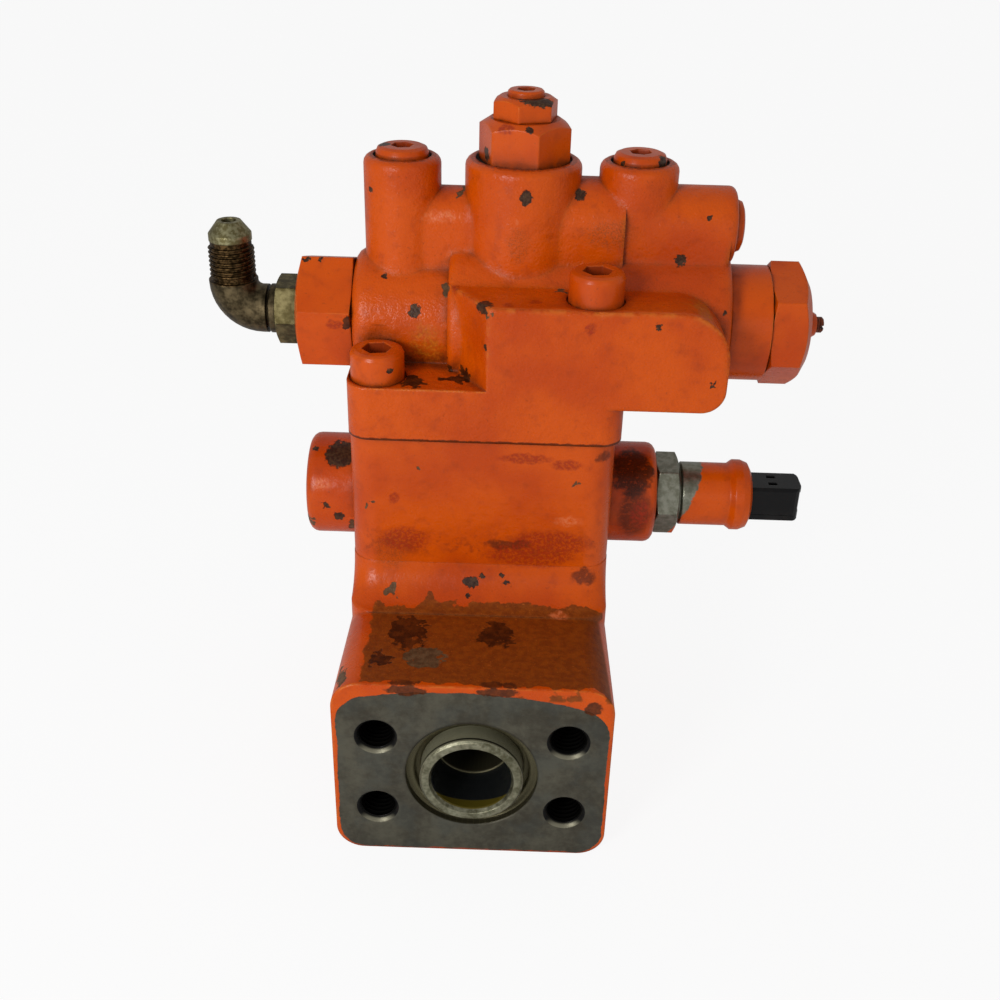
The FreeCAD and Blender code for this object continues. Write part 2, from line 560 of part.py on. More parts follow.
# Lower block
def lower_block():
    body = new_body("lower_block")
    # the foot tapers from the flange face to the column and runs on to the back at one size
    inner_width = "foot_half_width - foot_draft_side"
    inner_top = "foot_top - foot_draft_top"
    face = rounded(body, "flange_outline", "XZ_Plane", "foot_half_width", "-foot_bottom", "foot_top",
                   "foot_corner")
    inner = rounded(body, "foot_inner_outline", "XZ_Plane", inner_width, "-foot_bottom", inner_top,
                    "foot_corner", "-column_front")
    foot = body.newObject("PartDesign::AdditiveLoft", "foot")
    foot.Profile = face
    foot.Sections = [inner]
    foot.Ruled = True
    rear = rounded(body, "foot_rear_outline", "XZ_Plane", inner_width, "-foot_bottom", inner_top,
                   "foot_corner", "-column_front")
    pad(body, "foot_rear", rear, f"{BLOCK_REAR} - column_front", backwards=True)
    # the column rises from inside the foot
    column = rounded(body, "column_outline", "XY_Plane", "column_half_width", "column_front",
                     BLOCK_REAR, "column_edge")
    pad(body, "column", column, "seam_height")
    # concave root where the column rises: its outline is drawn forward along an arc, down into the foot
    root_low = f"{inner_top} + foot_draft_top * foot_fillet / column_front"
    steps = []
    for angle in (8, 25, 45, 65, 80):
        front = f"column_front - foot_fillet + foot_fillet * cos({angle})"
        height = f"{root_low} + foot_fillet - foot_fillet * sin({angle})"
        steps.append(rounded(body, f"root_outline_{angle}", "XY_Plane",
                             "column_half_width + root_stand", front,
                             "column_front + 2 * column_edge", "column_edge", height))
    root = body.newObject("PartDesign::AdditiveLoft", "column_root")
    root.Profile = steps[0]
    root.Sections = steps[1:]
    pad(body, "column_root_foot", steps[-1], "foot_corner", backwards=True)
    # side bosses, one each way
    shoulder = "side_boss_radius - side_boss_rim"
    left = rounding("side_boss_rim - side_boss_left", shoulder, "side_boss_rim", 180, 90)
    right = rounding("side_boss_right - side_boss_rim", shoulder, "side_boss_rim", 90, 0)
    lying_turn(body, "side_bosses", [("-side_boss_left", "0"), *left, *right, ("side_boss_right", "0")],
               "side_boss_height")
    # hose port: sleeve seat, ring recess, gland and drilling
    cylinder(body, "hose_drilling", "hose_drill", "hose_drill_end", ("0", "0", "0"), "y", cut=True)
    cylinder(body, "sleeve_seat", "sleeve_outer + 2 * seat_gap", "sleeve_depth", ("0", "0", "0"), "y",
             cut=True)
    cylinder(body, "ring_recess", "recess_outer", "recess_depth", ("0", "0", "0"), "y", cut=True)
    cylinder(body, "ring_gland", "gland_outer", "gland_depth", ("0", "0", "0"), "y", cut=True)
    # cylinder port at the back
    cylinder(body, "cylinder_drilling", "port_bore", f"{BLOCK_REAR} - rear_drill_end",
             ("rear_port_side", "rear_drill_end", "rear_port_height"), "y", cut=True)
    # upright passages to the upper block
    cylinder(body, "hose_passage", "passage_bore", "seam_height + passage_bore / 2",
             ("-passage_offset", DEEP, "-passage_bore / 2"), cut=True)
    cylinder(body, "cylinder_passage", "passage_bore",
             "seam_height - rear_port_height + passage_bore / 2",
             ("passage_offset", DEEP, "rear_port_height - passage_bore / 2"), cut=True)
    # ring grooves round the passages in the top face
    for side in (-1, 1):
        name = "hose" if side < 0 else "cylinder"
        cylinder(body, f"{name}_seal_groove",
                 "passage_bore + 2 * interface_seal_wire + 2 * seal_bottom_gap",
                 "interface_seal_wire",
                 (f"{side} * passage_offset", DEEP, "seam_height - interface_seal_wire"), cut=True)
    # threads for the cap screws
    rings = [(f"{side} * screw_place", depth, "screw_diameter + 2 * seat_gap")
             for side in (-1, 1) for depth in ("screw_front", "2 * axis_depth - screw_front")]
    pocket(body, "cap_screw_threads",
           circles(body, "cap_screw_layout", "XY_Plane", rings, "seam_height"),
           "screw_bite + seat_gap + 2")
    # flange threads, front and back, each with a countersunk mouth
    patterns = (
        ("front", "0", "0", "flange_pitch_long", "flange_pitch_short", "0", "flange_tap_depth", True),
        ("rear", "rear_port_side", "rear_port_height", "flange_pitch_short", "flange_pitch_long",
         f"-({BLOCK_REAR})", "rear_tap_depth", False))
    for name, across, up, wide, tall, offset, depth, inward in patterns:
        rings = [(f"{across} + {i} * {wide} / 2", f"{up} + {j} * {tall} / 2", "flange_tap")
                 for i in (-1, 1) for j in (-1, 1)]
        pocket(body, f"{name}_threads", circles(body, f"{name}_layout", "XZ_Plane", rings, offset),
               depth, backwards=not inward)
        face = 0 if inward else 2 * size("axis_depth") - size("column_front")
        soften(body, f"{name}_mouths", "(flange_tap_mouth - flange_tap) / 2",
               lambda edge, face=face: rim(edge, "y", face, size("flange_tap")), kind="Chamfer")
    # sensor port on the right, test port on the left
    cylinder(body, "sensor_port", "sensor_thread + 2 * seat_gap", "sensor_thread_length + 1.5",
             ("side_boss_right - sensor_thread_length - 1.5", DEEP, "side_boss_height"), "x", cut=True)
    cylinder(body, "sensor_drilling", "gallery_bore", "side_boss_right - passage_offset",
             ("passage_offset", DEEP, "side_boss_height"), "x", cut=True)
    cylinder(body, "test_port", "test_plug_thread + 2 * seat_gap",
             "plug_thread_length + test_plug_flange_length + 1",
             ("-side_boss_left", DEEP, "side_boss_height"), "x", cut=True)
    cylinder(body, "test_port_recess", "test_plug_flange + 2 * seal_bottom_gap",
             "test_plug_flange_length + 0.4",
             ("-side_boss_left", DEEP, "side_boss_height"), "x", cut=True)
    cylinder(body, "test_drilling", "gallery_bore", "side_boss_left - passage_offset",
             ("-side_boss_left", DEEP, "side_boss_height"), "x", cut=True)
    return body


# Upper block
def upper_block():
    body = new_body("upper_block")
    # main body: a slim left part and a stout right part
    slim = rounding("main_left_rim - main_left", "main_small_radius - main_left_rim", "main_left_rim",
                    180, 90)
    step = rounding("main_rim - main_step", "main_large_radius - main_rim", "main_rim", 180, 90)
    stout = rounding("main_right - main_rim", "main_large_radius - main_rim", "main_rim", 90, 0)
    lying_turn(body, "main_body",
               [("-main_left", "0"), *slim, ("-main_step", "main_small_radius"), *step, *stout,
                                   ("main_right", "0")], "main_height")
    # gallery casting in three thicknesses
    right_end = rounding("gallery_right - main_rim", "gallery_right_radius - main_rim", "main_rim", 90,
                         0)
    mid_end = "right_boss_place - gallery_mid_end"
    lying_turn(body, "gallery", [
        ("-left_boss_place", "0"), ("-left_boss_place", "gallery_left_radius"),
        ("centre_boss_place", "gallery_left_radius"), ("centre_boss_place", "gallery_mid_radius"),
        (mid_end, "gallery_mid_radius"), (mid_end, "gallery_right_radius"), *right_end,
        ("gallery_right", "0")], "gallery_height")
    # under the gallery the casting goes straight down to the main body
    webs = (("left", "-left_boss_place", "centre_boss_place"), ("mid", "centre_boss_place", mid_end),
            ("right", mid_end, "gallery_right - main_rim"))
    for name, start, end in webs:
        box(body, f"{name}_web",
            (f"{end} - ({start})", f"2 * gallery_{name}_radius", "gallery_height - main_height"),
            (start, f"axis_depth - gallery_{name}_radius", "main_height"))
    # three upright bosses
    bosses = (("left", "-left_boss_place"), ("centre", "centre_boss_place"),
              ("right", "right_boss_place"))
    for name, place in bosses:
        top = rounding(f"{name}_boss_radius - boss_rim", "boss_top - boss_rim", "boss_rim", 0, 90)
        standing_turn(body, f"{name}_boss",
                      [("0", "main_height"), (f"{name}_boss_radius", "main_height"), *top,
                                             ("0", "boss_top")], place)
    # slab that is bolted down on the lower block
    slab = outline(body, "slab_outline", "XY_Plane", [
        ("-slab_left", "slab_front"), ("slab_right", "slab_front"), ("slab_right", SLAB_REAR),
        ("-slab_left", SLAB_REAR)], offset="seam_height")
    pad(body, "slab", slab, "slab_thickness")
    # front block: square on the right, slanted back to the main body on the left
    block = outline(body, "front_block_outline", "XY_Plane", [
        ("front_block_left", "slab_front"), ("front_block_right", "slab_front"),
        ("front_block_right", DEEP), ("-main_step", DEEP),
        ("-main_step", "axis_depth - main_small_radius + 2")], offset="front_block_bottom")
    pad(body, "front_block", block, "front_block_top - front_block_bottom")
    document.recompute()
    right = size("front_block_right")
    soften(body, "front_block_corner", "front_block_round", lambda edge: straight(edge, "y")
           and near(middle(edge).x, right) and near(middle(edge).z, size("front_block_top")))
    soften(body, "front_block_lower_corner", "front_block_lower_round", lambda edge: straight(edge, "y")
           and near(middle(edge).x, right) and near(middle(edge).z, size("front_block_bottom")))
    sides = (-size("slab_left"), size("slab_right"))
    soften(body, "slab_corners", "slab_corner", lambda edge: straight(edge, "z")
           and any(near(middle(edge).x, side) for side in sides))
    # bores along the main axis
    cylinder(body, "pilot_thread", "adapter_thread + 2 * seat_gap", "adapter_thread_length + 1",
             ("-main_left", DEEP, "main_height"), "x", cut=True)
    cylinder(body, "hose_chamber", "adapter_thread - 2", "main_left",
             ("-main_left", DEEP, "main_height"), "x", cut=True)
    cylinder(body, "poppet_bore", "poppet_diameter", "main_right + seat_half_length",
             ("-seat_half_length", DEEP, "main_height"), "x", cut=True)
    cylinder(body, "cap_thread_bore", "cap_thread + 2 * seat_gap", "cap_thread_length + 1",
             ("main_right - cap_thread_length - 1", DEEP, "main_height"), "x", cut=True)
    # upright passages from the lower block
    for side, name in ((-1, "hose"), (1, "cylinder")):
        cylinder(body, f"{name}_passage", "passage_bore", "main_height - seam_height",
                 (f"{side} * passage_offset", DEEP, "seam_height"), cut=True)
    # relief cartridge's stepped hole and the drilling that feeds it
    cylinder(body, "cartridge_thread_bore", "cartridge_thread + 2 * seat_gap",
             "boss_top - cartridge_thread_end + 0.5",
             ("centre_boss_place", DEEP, "cartridge_thread_end - 0.5"), cut=True)
    cylinder(body, "cartridge_nose_bore", "cartridge_nose + 2 * seat_gap",
             "boss_top - cartridge_foot + 0.3",
             ("centre_boss_place", DEEP, "cartridge_foot - 0.3"), cut=True)
    cylinder(body, "relief_drilling", "relief_seat_bore", "cartridge_foot - main_height",
             ("centre_boss_place", DEEP, "main_height"), cut=True)
    cylinder(body, "cartridge_recess", "cartridge_hexagon * 1.2", "plug_recess_depth",
             ("centre_boss_place", DEEP, "boss_top - plug_recess_depth"), cut=True)
    # plugged drillings: left and right boss, and the gallery itself
    for name, place in (bosses[0], bosses[2]):
        cylinder(body, f"{name}_drilling", "gallery_bore",
                 "boss_top - gallery_height + gallery_bore / 2",
                 (place, DEEP, "gallery_height - gallery_bore / 2"), cut=True)
        cylinder(body, f"{name}_plug_thread", "plug_thread + 2 * seat_gap", "plug_thread_length + 1",
                 (place, DEEP, "boss_top - plug_thread_length - 1"), cut=True)
        cylinder(body, f"{name}_plug_recess", "plug_recess", "plug_recess_depth",
                 (place, DEEP, "boss_top - plug_recess_depth"), cut=True)
    cylinder(body, "gallery_drilling", "gallery_bore", "gallery_right + left_boss_place",
             ("-left_boss_place", DEEP, "gallery_height"), "x", cut=True)
    cylinder(body, "end_plug_thread", "plug_thread + 2 * seat_gap", "plug_thread_length + 1",
             ("gallery_right - plug_thread_length - 1", DEEP, "gallery_height"), "x", cut=True)
    cylinder(body, "end_plug_recess", "plug_recess", "plug_recess_depth",
             ("gallery_right - plug_recess_depth", DEEP, "gallery_height"), "x", cut=True)
    # screw holes and their spotfaces; the front right one goes through the front block
    tops = {("-1", "screw_front"): SLAB_TOP, ("-1", "rear"): SLAB_TOP,
            ("1", "screw_front"): "front_block_top", ("1", "rear"): SLAB_TOP}
    for number, ((side, pair), top) in enumerate(tops.items(), start=1):
        depth = pair if pair == "screw_front" else "2 * axis_depth - screw_front"
        place = (f"{side} * screw_place", depth)
        cylinder(body, f"screw_hole_{number}", "screw_diameter + 2 * screw_hole_gap",
                 f"{top} - seam_height", (*place, "seam_height"), cut=True)
        cylinder(body, f"spotface_{number}", "spotface", "screw_head_height + 4",
                 (*place, f"{top} - spotface_depth"), cut=True)
    return body


def cap_screws():
    """Four hexagon socket cap screws; the front right one is longer, because it passes the front block."""
    members = []
    rear = "2 * axis_depth - screw_front"
    places = (("-screw_place", "screw_front", SLAB_TOP),
              ("screw_place", "screw_front", "front_block_top"),
              ("-screw_place", rear, SLAB_TOP), ("screw_place", rear, SLAB_TOP))
    for number, (across, depth, top) in enumerate(places, start=1):
        length = f"{top} - spotface_depth - seam_height + screw_bite"
        body = turned(f"cap_screw_{number}", [
            ("0", f"-({length})"), ("screw_diameter / 2 - 0.8", f"-({length})"),
            ("screw_diameter / 2", f"0.8 - ({length})"), ("screw_diameter / 2", "0"),
            ("screw_head / 2", "0"),
            ("screw_head / 2", "screw_head_height - 1.6"),
            ("screw_head / 2 - 0.5", "screw_head_height - 0.5"),
            ("screw_head / 2 - 1.6", "screw_head_height"), ("0", "screw_head_height")],
            (across, depth, f"{top} - spotface_depth"))
        hexagon(body, f"cap_screw_socket_{number}", "screw_socket", "screw_socket_depth",
                ("0", "0", "screw_head_height - screw_socket_depth"), spin=10, cut=True)
        members.append(body)
    return group("block_cap_screws", members)


def port_sleeve():
    """Steel sleeve of the hose port; it stands out of the flange and centres the mating port."""
    inner = "port_bore / 2"
    outer = "sleeve_outer / 2"
    return turned("port_sleeve", [
        (inner, "-sleeve_depth"), (outer, "-sleeve_depth"), (outer, "sleeve_stand - 0.7"),
        (f"{outer} - 0.7", "sleeve_stand"), (f"{inner} + 0.9", "sleeve_stand"),
        (inner, "sleeve_stand - 1.6")], ("0", "0", "0"), "-y")


def interface_seals():
    members = [ring(f"{name}_interface_seal",
                    "(passage_bore + interface_seal_wire) / 2 + seal_bottom_gap / 2",
                    "interface_seal_wire / 2 - seat_gap",
                    (f"{side} * passage_offset", DEEP, "seam_height - interface_seal_wire / 2"))
               for side, name in ((-1, "hose"), (1, "cylinder"))]
    return group("interface_seals", members)


# Main poppet group, on the main axis
MAIN = (DEEP, "main_height")


def main_group():
    """Seat, poppet, spring, cap with its seal, and the bleed screw."""
    wall = "poppet_diameter / 2 - seat_gap"
    seat = turned("poppet_seat", [
        ("seat_bore / 2", "-seat_half_length + seat_gap"), (wall, "-seat_half_length + seat_gap"),
        (wall, "seat_half_length"), ("seat_bore / 2", "seat_half_length")], ("0", *MAIN), "x")
    guide = "poppet_diameter / 2 - running_gap"
    neck = "poppet_neck / 2"
    # the cone meets the seat's inner edge with a fit's clearance
    touch = "seat_bore / 2 - seat_gap"
    nose = "poppet_nose / 2"
    poppet = turned("main_poppet", [
        ("0", f"seat_half_length - ({touch}) + {nose}"),
        (nose, f"seat_half_length - ({touch}) + {nose}"),
        (neck, f"seat_half_length - ({touch}) + {neck}"), (neck, "poppet_guide_start - 1.5"),
        (guide, "poppet_guide_start"), (guide, "poppet_end"), ("poppet_pocket / 2", "poppet_end"),
        ("poppet_pocket / 2", "poppet_pocket_end"), ("0", "poppet_pocket_end")], ("0", *MAIN), "x")
    # two shallow balancing grooves round the guide
    for number in (1, 2):
        start = f"poppet_guide_start + {number} * (poppet_end - poppet_guide_start) / 3"
        depth = f"{guide} - 0.6"
        revolve(poppet, f"balance_groove_{number}", [
            (depth, start), ("poppet_diameter", start), ("poppet_diameter", f"{start} + 1"),
            (depth, f"{start} + 1")], cut=True)
    spring = coil("main_spring", "(poppet_pocket - main_wire) / 2 - 0.5", "main_wire",
                  "cap_pocket_end - poppet_pocket_end", "main_coils", ("poppet_pocket_end", *MAIN), "x")
    # heights run to the right from the middle of the part
    cap = new_body("spring_cap")
    start = "main_right - cap_thread_length"
    thread = "cap_thread / 2"
    chamfered_hexagon(cap, "cap_wrench_bar", "cap_hexagon", "cap_end - cap_round_end", "cap_round_end",
                      51.2, chamfer="cap_dome", flat="0.4")
    revolve(cap, "cap_wrench_foot", [
        ("cap_hexagon * 0.475", "cap_round_end"), ("cap_hexagon * 0.475", "cap_round_end - 1"),
        ("cap_hexagon * 0.62", "cap_round_end - 1"), ("cap_hexagon * 0.62", "cap_round_end + 1.4")],
        cut=True)
    revolve(cap, "cap_turning", [
        ("0", start), (f"{thread} - 0.8", start), (thread, f"{start} + 0.8"),
        (thread, "main_right - 2.6"),
        (f"{thread} - cap_seal_wire", "main_right - 2.6"),
        (f"{thread} - cap_seal_wire", "main_right + seat_gap"),
        ("cap_round / 2 - 1.5", "main_right + seat_gap"), ("cap_round / 2", "main_right + 1"),
        ("cap_round / 2", "cap_round_end"), ("0", "cap_round_end")])
    nose_end = "cap_end + cap_nose_length"
    revolve(cap, "cap_nose", [
        ("0", "cap_end - 1"), ("cap_nose_diameter / 2", "cap_end - 1"),
        ("cap_nose_diameter / 2", "cap_end"), ("bleed_diameter / 2 + 0.9", nose_end), ("0", nose_end)])
    bleed_hole = "bleed_diameter / 2 + running_gap"
    bleed_foot = "cap_end + bleed_stand - bleed_length - 1"
    revolve(cap, "cap_hollow", [
        ("0", f"{start} - 1"), ("cap_pocket / 2", f"{start} - 1"), ("cap_pocket / 2", "cap_pocket_end"),
        ("1", "cap_pocket_end"), ("1", bleed_foot), (bleed_hole, bleed_foot),
        (bleed_hole, f"{nose_end} + 1"), ("0", f"{nose_end} + 1")], cut=True)
    put(cap, ("0", *MAIN), ALONG["x"])
    cap_seal = ring("spring_cap_seal", "cap_thread / 2 - cap_seal_wire / 2",
                    "cap_seal_wire / 2 - seat_gap", ("main_right - 1.3", *MAIN), "x")
    tip = "cap_end + bleed_stand"
    bleed = turned("bleed_screw", [
        ("0", f"{tip} - bleed_length"), ("bleed_diameter / 2 - 1.2", f"{tip} - bleed_length"),
        ("bleed_diameter / 2", f"{tip} - bleed_length + 1.2"), ("bleed_diameter / 2", f"{tip} - 0.5"),
        ("bleed_diameter / 2 - 0.5", tip), ("0", tip)], ("0", *MAIN), "x")
    solid(bleed, "Box", "bleed_slot", True,
          {"Length": "1", "Width": "bleed_diameter * 2", "Height": "2"},
          ("-0.5", "-bleed_diameter", f"{tip} - 1.2"))
    return [seat, poppet, spring, cap, cap_seal, bleed]


# Pilot group: adapter, piston, return spring and the elbow with its locknut
ADAPTER_LEFT = "main_left + adapter_hexagon_length"


def pilot_group():
    wall_face = "main_left - adapter_thread_length + adapter_wall"
    bore = "piston_diameter / 2"
    thread = "adapter_thread / 2"
    adapter = new_body("pilot_adapter")
    # heights run to the right along the main axis, from the middle of the part
    chamfered_hexagon(adapter, "adapter_hexagon_bar", "adapter_hexagon", "adapter_hexagon_length",
                      f"-({ADAPTER_LEFT})", 12.5, chamfer="0.6")
    revolve(adapter, "adapter_outer_chamfer", [
        ("adapter_hexagon * 0.41", f"-({ADAPTER_LEFT})"),
        ("adapter_hexagon * 0.41", f"-({ADAPTER_LEFT}) - 2"),
        ("adapter_hexagon * 0.7", f"-({ADAPTER_LEFT}) - 2"),
        ("adapter_hexagon * 0.59", f"-({ADAPTER_LEFT}) + adapter_chamfer")], cut=True)
    spigot_end = "-(main_left - adapter_thread_length)"
    revolve(adapter, "adapter_spigot", [
        ("0", "-main_left - 1"), ("adapter_thread / 2 - adapter_seal_wire", "-main_left - 1"),
        ("adapter_thread / 2 - adapter_seal_wire", "-main_left + adapter_seal_wire + 0.4"),
        (thread, "-main_left + adapter_seal_wire + 0.4"), (thread, f"{spigot_end} - 0.8"),
        (f"{thread} - 0.8", spigot_end), ("0", spigot_end)])
    hollow = [
        ("0", f"-({ADAPTER_LEFT}) - 1"), ("elbow_thread / 2 + seat_gap", f"-({ADAPTER_LEFT}) - 1"),
        ("elbow_thread / 2 + seat_gap", f"-({ADAPTER_LEFT}) + elbow_thread_length + 1"),
        (bore, f"-({ADAPTER_LEFT}) + elbow_thread_length + 1"), (bore, f"-({wall_face})"),
        ("piston_stem / 2 + running_gap", f"-({wall_face})"),
        ("piston_stem / 2 + running_gap", f"{spigot_end} + 1"), ("0", f"{spigot_end} + 1")]
    revolve(adapter, "adapter_hollow", hollow, cut=True)
    put(adapter, ("0", *MAIN), ALONG["x"])
    adapter_seal = ring("pilot_adapter_seal", "(adapter_thread - adapter_seal_wire) / 2",
                        "adapter_seal_wire / 2 - seat_gap",
                        ("-main_left + adapter_seal_wire / 2 + 0.2", *MAIN), "x")
    head = f"{bore} - running_gap"
    left = "-piston_rest - piston_length"
    tip = "seat_half_length - (seat_bore / 2 - seat_gap) + poppet_nose / 2 - stem_end_gap"
    piston = turned("pilot_piston", [
        ("0", left), (f"{head} - 0.6", left), (head, f"{left} + 0.6"), (head, "-piston_rest"),
        ("piston_stem / 2", "-piston_rest"), ("piston_stem / 2", f"{tip} - 0.8"),
        ("piston_stem / 2 - 0.8", tip), ("0", tip)], ("0", *MAIN), "x")
    for number in (1, 2):
        start = f"{left} + {number} * piston_length / 3"
        revolve(piston, f"piston_groove_{number}", [
            (f"{head} - 0.5", start), ("piston_diameter", start), ("piston_diameter", f"{start} + 0.8"),
            (f"{head} - 0.5", f"{start} + 0.8")], cut=True)
    spring = coil("pilot_return_spring", "(piston_diameter - pilot_wire) / 2 - 0.6", "pilot_wire",
                  f"piston_rest - ({wall_face})", "pilot_coils", ("-piston_rest", *MAIN), "x")
    return [adapter, adapter_seal, piston, spring]


def elbow_group():
    """Ninety degree elbow with a flare end that points up, held by a locknut and a seal."""
    # the elbow's own frame has its origin where the two centre lines cross
    body = new_body("pilot_elbow")
    leg = "elbow_place - main_left - adapter_hexagon_length"
    section = circles(body, "elbow_section", "XY_Plane", [("0", "0", "elbow_body")], "elbow_bend")
    path = body.newObject("Sketcher::SketchObject", "elbow_path")
    support = [item for item in body.Origin.OriginFeatures if item.Role == "XZ_Plane"][0]
    path.AttachmentSupport = [(support, "")]
    path.MapMode = "FlatFace"
    bend = size("elbow_bend")
    arc = Part.ArcOfCircle(Part.Circle(Vector(bend, bend, 0), Vector(0, 0, 1), bend), 3.14159265,
                           4.71238898)
    path.addGeometry(arc, False)
    for kind, point, text in (("DistanceX", 3, "elbow_bend"), ("DistanceY", 3, "elbow_bend"),
                              ("DistanceX", 1, "0"), ("DistanceY", 1, "elbow_bend"),
                              ("DistanceX", 2, "elbow_bend")):
        number = path.addConstraint(Sketcher.Constraint(kind, -1, 1, 0, point,
                                                        0 if text == "0" else bend))
        path.renameConstraint(number, f"{kind[-1]}_of_{point}")
        path.setExpression(f"Constraints.{kind[-1]}_of_{point}", formula(text))
    elbow = body.newObject("PartDesign::AdditivePipe", "elbow_bend_sweep")
    elbow.Profile = section
    elbow.Spine = (path, ["Edge1"])
    flare_base = "flare_thread_start - main_height"
    flare_length = "flare_thread_length + flare_neck_length"
    cylinder(body, "upright_leg", "elbow_body", f"{flare_base} - elbow_bend", ("0", "0", "elbow_bend"))
    cylinder(body, "flare_thread_part", "flare_thread", "flare_thread_length", ("0", "0", flare_base))
    cylinder(body, "flare_neck_part", "flare_neck", flare_length, ("0", "0", flare_base))
    cone(body, "flare_cone", "flare_neck", "flare_nose", "(flare_neck - flare_nose) / 2 / tan(37)",
         ("0", "0", f"{flare_base} + {flare_length}"))
    cylinder(body, "level_forging", "elbow_body", "elbow_shoulder", ("elbow_bend", "0", "0"), "x")
    cylinder(body, "level_leg", "elbow_body - 3", f"{leg} - elbow_bend - locknut_length",
             ("elbow_bend", "0", "0"), "x")
    cylinder(body, "level_collar", "elbow_collar", "elbow_collar_length",
             (f"{leg} - locknut_length - elbow_collar_length - 0.2", "0", "0"), "x")
    cylinder(body, "level_thread", "elbow_thread", f"locknut_length + elbow_thread_length + 1",
             (f"{leg} - locknut_length - 1", "0", "0"), "x")
    # waterways
    cylinder(body, "upright_waterway", "elbow_bore", f"{flare_base} + {flare_length} + 10",
             ("0", "0", "0"), cut=True)
    cylinder(body, "level_waterway", "elbow_bore", f"{leg} + elbow_thread_length + 1", ("0", "0", "0"),
             "x", cut=True)
    put(body, ("-elbow_place", *MAIN))
    # the locknut bears on the adapter's face; its seal lies in the adapter's mouth chamfer
    nut = new_body("elbow_locknut")
    chamfered_hexagon(nut, "locknut_bar", "locknut_hexagon", "locknut_length - seat_gap", "0", 35.2,
                      chamfer="0.7", both=True)
    cylinder(nut, "locknut_hole", "elbow_thread + 2 * seat_gap", "locknut_length + 2", ("0", "0", "-1"),
             cut=True)
    cylinder(nut, "locknut_seal_groove", "elbow_thread + 2 * elbow_seal_wire + 2 * seat_gap",
             "elbow_seal_wire", ("0", "0", "locknut_length - seat_gap - elbow_seal_wire"), cut=True)
    put(nut, (f"-({ADAPTER_LEFT}) - locknut_length", *MAIN), ALONG["x"])
    seal = ring("elbow_seal", "(elbow_thread + elbow_seal_wire) / 2 + seat_gap",
                "elbow_seal_wire / 2 - seat_gap",
                (f"-({ADAPTER_LEFT}) - elbow_seal_wire / 2 - seat_gap", *MAIN), "x")
    return [body, nut, seal]


# Relief group in the centre boss; heights are the part's own
RELIEF = ("centre_boss_place", DEEP)


